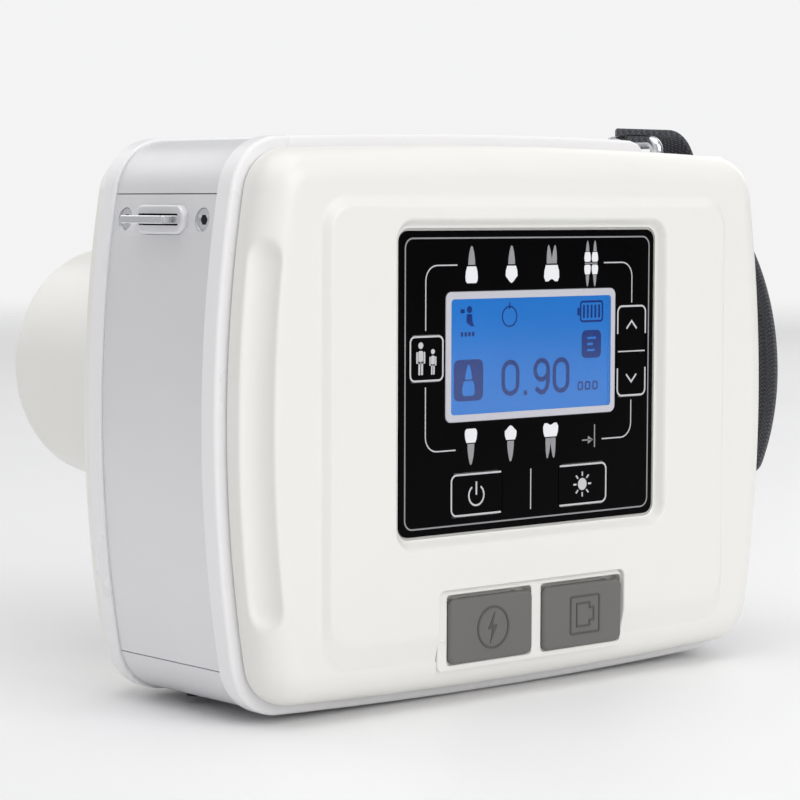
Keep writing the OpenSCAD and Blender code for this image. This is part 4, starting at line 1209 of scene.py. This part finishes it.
def pad_section(v, total):
    """The pad's section: a crown in the middle, a sewn channel inside a thin rim."""
    end = min(v, total - v)
    close = math.sqrt(max(0.0, min(1.0, end / 5)))            # the ends are sewn flat
    pts = []
    count = 40
    half = pad_half(v, total)
    for side in (1, -1):
        for i in range(count + 1):
            y = half * math.cos(math.pi * i / count) * side
            k = abs(y) / half
            crown = math.sqrt(max(0.0, 1 - k ** 4))
            channel = 0.55 * math.exp(-((abs(y) - (half - CHANNEL)) / 0.7) ** 2)
            ripple = 0.12 * math.sin(v * 0.42 + y * 0.3) * (1 - k * k)
            h = (0.55 + (PAD_T / 2 - 0.75) * crown - channel + ripple) * (0.5 + 0.5 * close)
            if i in (0, count):
                h *= 0.4
            pts.append((y, side * h))
    return pts


def pad_path():
    mid = PAD_T / 2
    path = [strap_point(LOW_A + (TOP_TURN - LOW_A) * i / 90, mid) for i in range(91)]
    rise = Vector(turned(1, TOP_TURN + 90))
    return path + [path[-1] + rise * PAD_RISE * i / 8 for i in range(1, 9)]


def make_pad():
    pad = swept_strap("strap_pad", pad_path(), PAD_W, pad_section)
    dress(pad, pad_cloth, "strap_fabric", replaces=["hand_strap_pad"])


def make_top_webbing():
    """The upper webbing: its cut end, over the ring, down the bend and into the pad, with a tail under it."""
    half = WEB_T / 2
    path = [Vector((TAIL_X + (BEND_C.x - TAIL_X) * i / 30, OVER_Z - half)) for i in range(30)]
    path += [BEND_C + Vector(turned(BEND_R - half, 90 - (90 - TOP_TURN) * i / 20)) for i in range(21)]
    start, end = path[-1], strap_point(TOP_TURN, half)
    end += (start - end).normalized() * (PAD_RISE - 4)
    path += [start.lerp(end, i / 24) for i in range(1, 25)]
    outer = swept_strap("webbing_top", path, WEB_W, web_section, cut_start=CUT_SLANT)
    dress(outer, web_cloth, "strap_webbing", replaces=["strap_webbing_top"])
    tail = [Vector((TAIL_X + 4 + 10 * i / 12, OVER_Z - WEB_T - half - 0.1)) for i in range(12)]
    inner = swept_strap("webbing_top_tail", tail, WEB_W, web_section, cut_start=CUT_SLANT)
    dress(inner, web_cloth, "strap_webbing")


def make_low_webbing():
    """The lower webbing, round its ring and sewn back on itself."""
    half = WEB_T / 2
    down, outward = Vector(turned(1, -LOW_TURN - 90)), Vector(turned(1, -LOW_TURN))
    end = strap_point(-LOW_TURN, 0)
    ring = end + down * LOW_RUN - 4 * outward
    path = [strap_point(a, half) for a in (LOW_A + 0.5, 2 - LOW_TURN, -LOW_TURN)]
    path += [end - half * outward + down * LOW_RUN * i / 12 for i in range(1, 13)]
    path += [ring + Vector(turned(LOW_RING_R + half, -LOW_TURN - a)) for a in range(15, 181, 15)]
    back = path[-1]
    path += [back - down * LOW_FOLD * i / 8 for i in range(1, 9)]
    low = swept_strap("webbing_bottom", path, WEB_W, web_section)
    dress(low, web_cloth, "strap_webbing", replaces=["strap_webbing_bottom"])


def stitch(build, p, along, out):
    """One stitch, 2 mm long: a thin rod that bows out of the cloth, with narrow ends."""
    across = along.cross(out).normalized()
    rings = []
    for k in range(5):
        t = -1 + k / 2
        c = p + along * t + out * (0.12 * (1 - t * t))
        r = 0.09 if k in (0, 4) else 0.2
        rings.append(build.add([c + (across * x + out * y) * r for x, y in circle(0, 0, 1, 6)]))
    build.skin(rings)
    build.faces += [tuple(rings[0]), tuple(reversed(rings[-1]))]


def make_stitches():
    """Stitches along the pad's channels, and across the webbing where it is sewn."""
    build = Build()
    path, run = pad_path(), [0.0]
    for a, b in zip(path, path[1:]):
        run.append(run[-1] + (b - a).length)
    start, pitch = 4.5, 3
    for k in range(int((run[-1] - 2 * start) / pitch)):
        v = start + pitch * k
        i = max(j for j in range(len(run)) if run[j] <= v)
        u = (path[min(i + 1, len(path) - 1)] - path[i]).normalized()
        p = path[i] + u * (v - run[i])
        out = Vector((u.y, 0, -u.x))
        for side in (-1, 1):
            y = side * (pad_half(v, run[-1]) - CHANNEL)
            stitch(build, Vector((p.x, y, p.y)) + out * 0.95, Vector((u.x, 0, u.y)), out)
    up, top = Vector((0, 0, 1)), OVER_Z - 0.34
    diagonal = Vector((1, 1, 0)).normalized()
    for k in range(4):
        stitch(build, Vector((TAIL_X + 3.6 + 2.4 * k, -5.6 + 2.4 * k, top)), diagonal, up)
        stitch(build, Vector((TAIL_X + 5.6 + 2.6 * k, -6.0, top)), Vector((1, 0, 0)), up)
    dress(build.object("strap_stitches"), thread, "strap_webbing")


make_pad()
make_top_webbing()
make_low_webbing()
make_stitches()


# ---- floor, light and camera ------------------------------------------------------------------
def make_floor():
    bpy.ops.mesh.primitive_circle_add(vertices=96, radius=6, fill_type="NGON")
    floor = bpy.context.object
    floor.name = "floor"
    g = Graph("floor_paint")
    far = g.put("ShaderNodeVectorMath", {0: g.coord.outputs["Object"]}, operation="LENGTH").outputs["Value"]
    rim = {"Value": far, "From Min": 0.9, "From Max": 3.2, "To Min": 1.0, "To Max": 0.0}
    fade = g.put("ShaderNodeMapRange", rim, interpolation_type="SMOOTHSTEP").outputs["Result"]
    g.set(Base_Color=g.between(g.noise(3, 2), (0.90, 0.90, 0.905), (0.92, 0.92, 0.925)), Roughness=0.5,
          Specular_IOR_Level=0.25, Alpha=fade)
    floor.data.materials.append(g.mat)


def make_world():
    """A grey surround that is dimmer to the camera's right. The camera itself sees a plain pale grey."""
    scene = bpy.context.scene
    scene.view_settings.view_transform = "Standard"
    world = bpy.data.worlds.new("studio")
    scene.world = world
    world.use_nodes = True
    nodes, links = world.node_tree.nodes, world.node_tree.links
    back = nodes["Background"]
    coord = nodes.new("ShaderNodeTexCoord")
    dot = nodes.new("ShaderNodeVectorMath")
    dot.operation = "DOT_PRODUCT"
    dot.inputs[1].default_value = Vector((0.69, -0.72, 0.0)).normalized()
    links.new(coord.outputs["Generated"], dot.inputs[0])
    ramp = nodes.new("ShaderNodeValToRGB")
    bright, dim = ramp.color_ramp.elements
    bright.position, dim.position = 0.45, 0.97
    bright.color, dim.color = (0.47, 0.47, 0.475, 1), (0.13, 0.13, 0.135, 1)
    links.new(dot.outputs["Value"], ramp.inputs["Fac"])
    path = nodes.new("ShaderNodeLightPath")
    mix = nodes.new("ShaderNodeMixRGB")
    links.new(path.outputs["Is Camera Ray"], mix.inputs["Fac"])
    links.new(ramp.outputs["Color"], mix.inputs["Color1"])
    mix.inputs["Color2"].default_value = (0.90, 0.90, 0.905, 1)
    links.new(mix.outputs["Color"], back.inputs["Color"])


LIGHTS = [                           # name, place and width in metres, watts
    ("top", (-0.2, -0.2, 1.6), 1.8, 13),
    ("left", (-1.6, -0.5, 0.8), 1.3, 0.8),
    ("rear_fill", (0.35, -1.8, 0.9), 1.3, 15.5),
    ("front_fill", (-0.3, 1.7, 0.9), 1.2, 5),
    ("right", (1.6, 0.6, 0.8), 1.0, 4),
]


def make_lights():
    for name, at, size, power in LIGHTS:
        data = bpy.data.lights.new(name, "AREA")
        data.energy, data.size = power, size
        light = bpy.data.objects.new(name, data)
        light.location = at
        light.rotation_euler = (Vector((0, 0, 0.07)) - Vector(at)).to_track_quat("-Z", "Y").to_euler()
        bpy.context.scene.collection.objects.link(light)


CAMERA_FROM_LABEL = Vector((-499.3, -518.8, 46.94))


def make_camera():
    data = bpy.data.cameras.new("camera")
    data.sensor_width, data.lens = 36.0, 118.3
    data.clip_start, data.clip_end = 0.05, 50
    camera = bpy.data.objects.new("camera", data)
    bpy.context.scene.collection.objects.link(camera)
    yaw, pitch, roll = math.radians(41.036), math.radians(4.219), math.radians(-0.16)
    ahead = Vector((math.sin(yaw) * math.cos(pitch), math.cos(yaw) * math.cos(pitch), -math.sin(pitch)))
    right = Vector((math.cos(yaw), -math.sin(yaw), 0))
    down = ahead.cross(right)
    across = math.cos(roll) * right + math.sin(roll) * down
    up = -(-math.sin(roll) * right + math.cos(roll) * down)
    place = HOME + Vector((LABEL_X, LABEL_Y, LABEL_Z + ZC)) + CAMERA_FROM_LABEL
    matrix = Matrix((across, up, -ahead)).transposed().to_4x4()
    matrix.translation = place * MM
    camera.matrix_world = matrix
    bpy.context.scene.camera = camera


make_floor()
make_world()
make_lights()
make_camera()
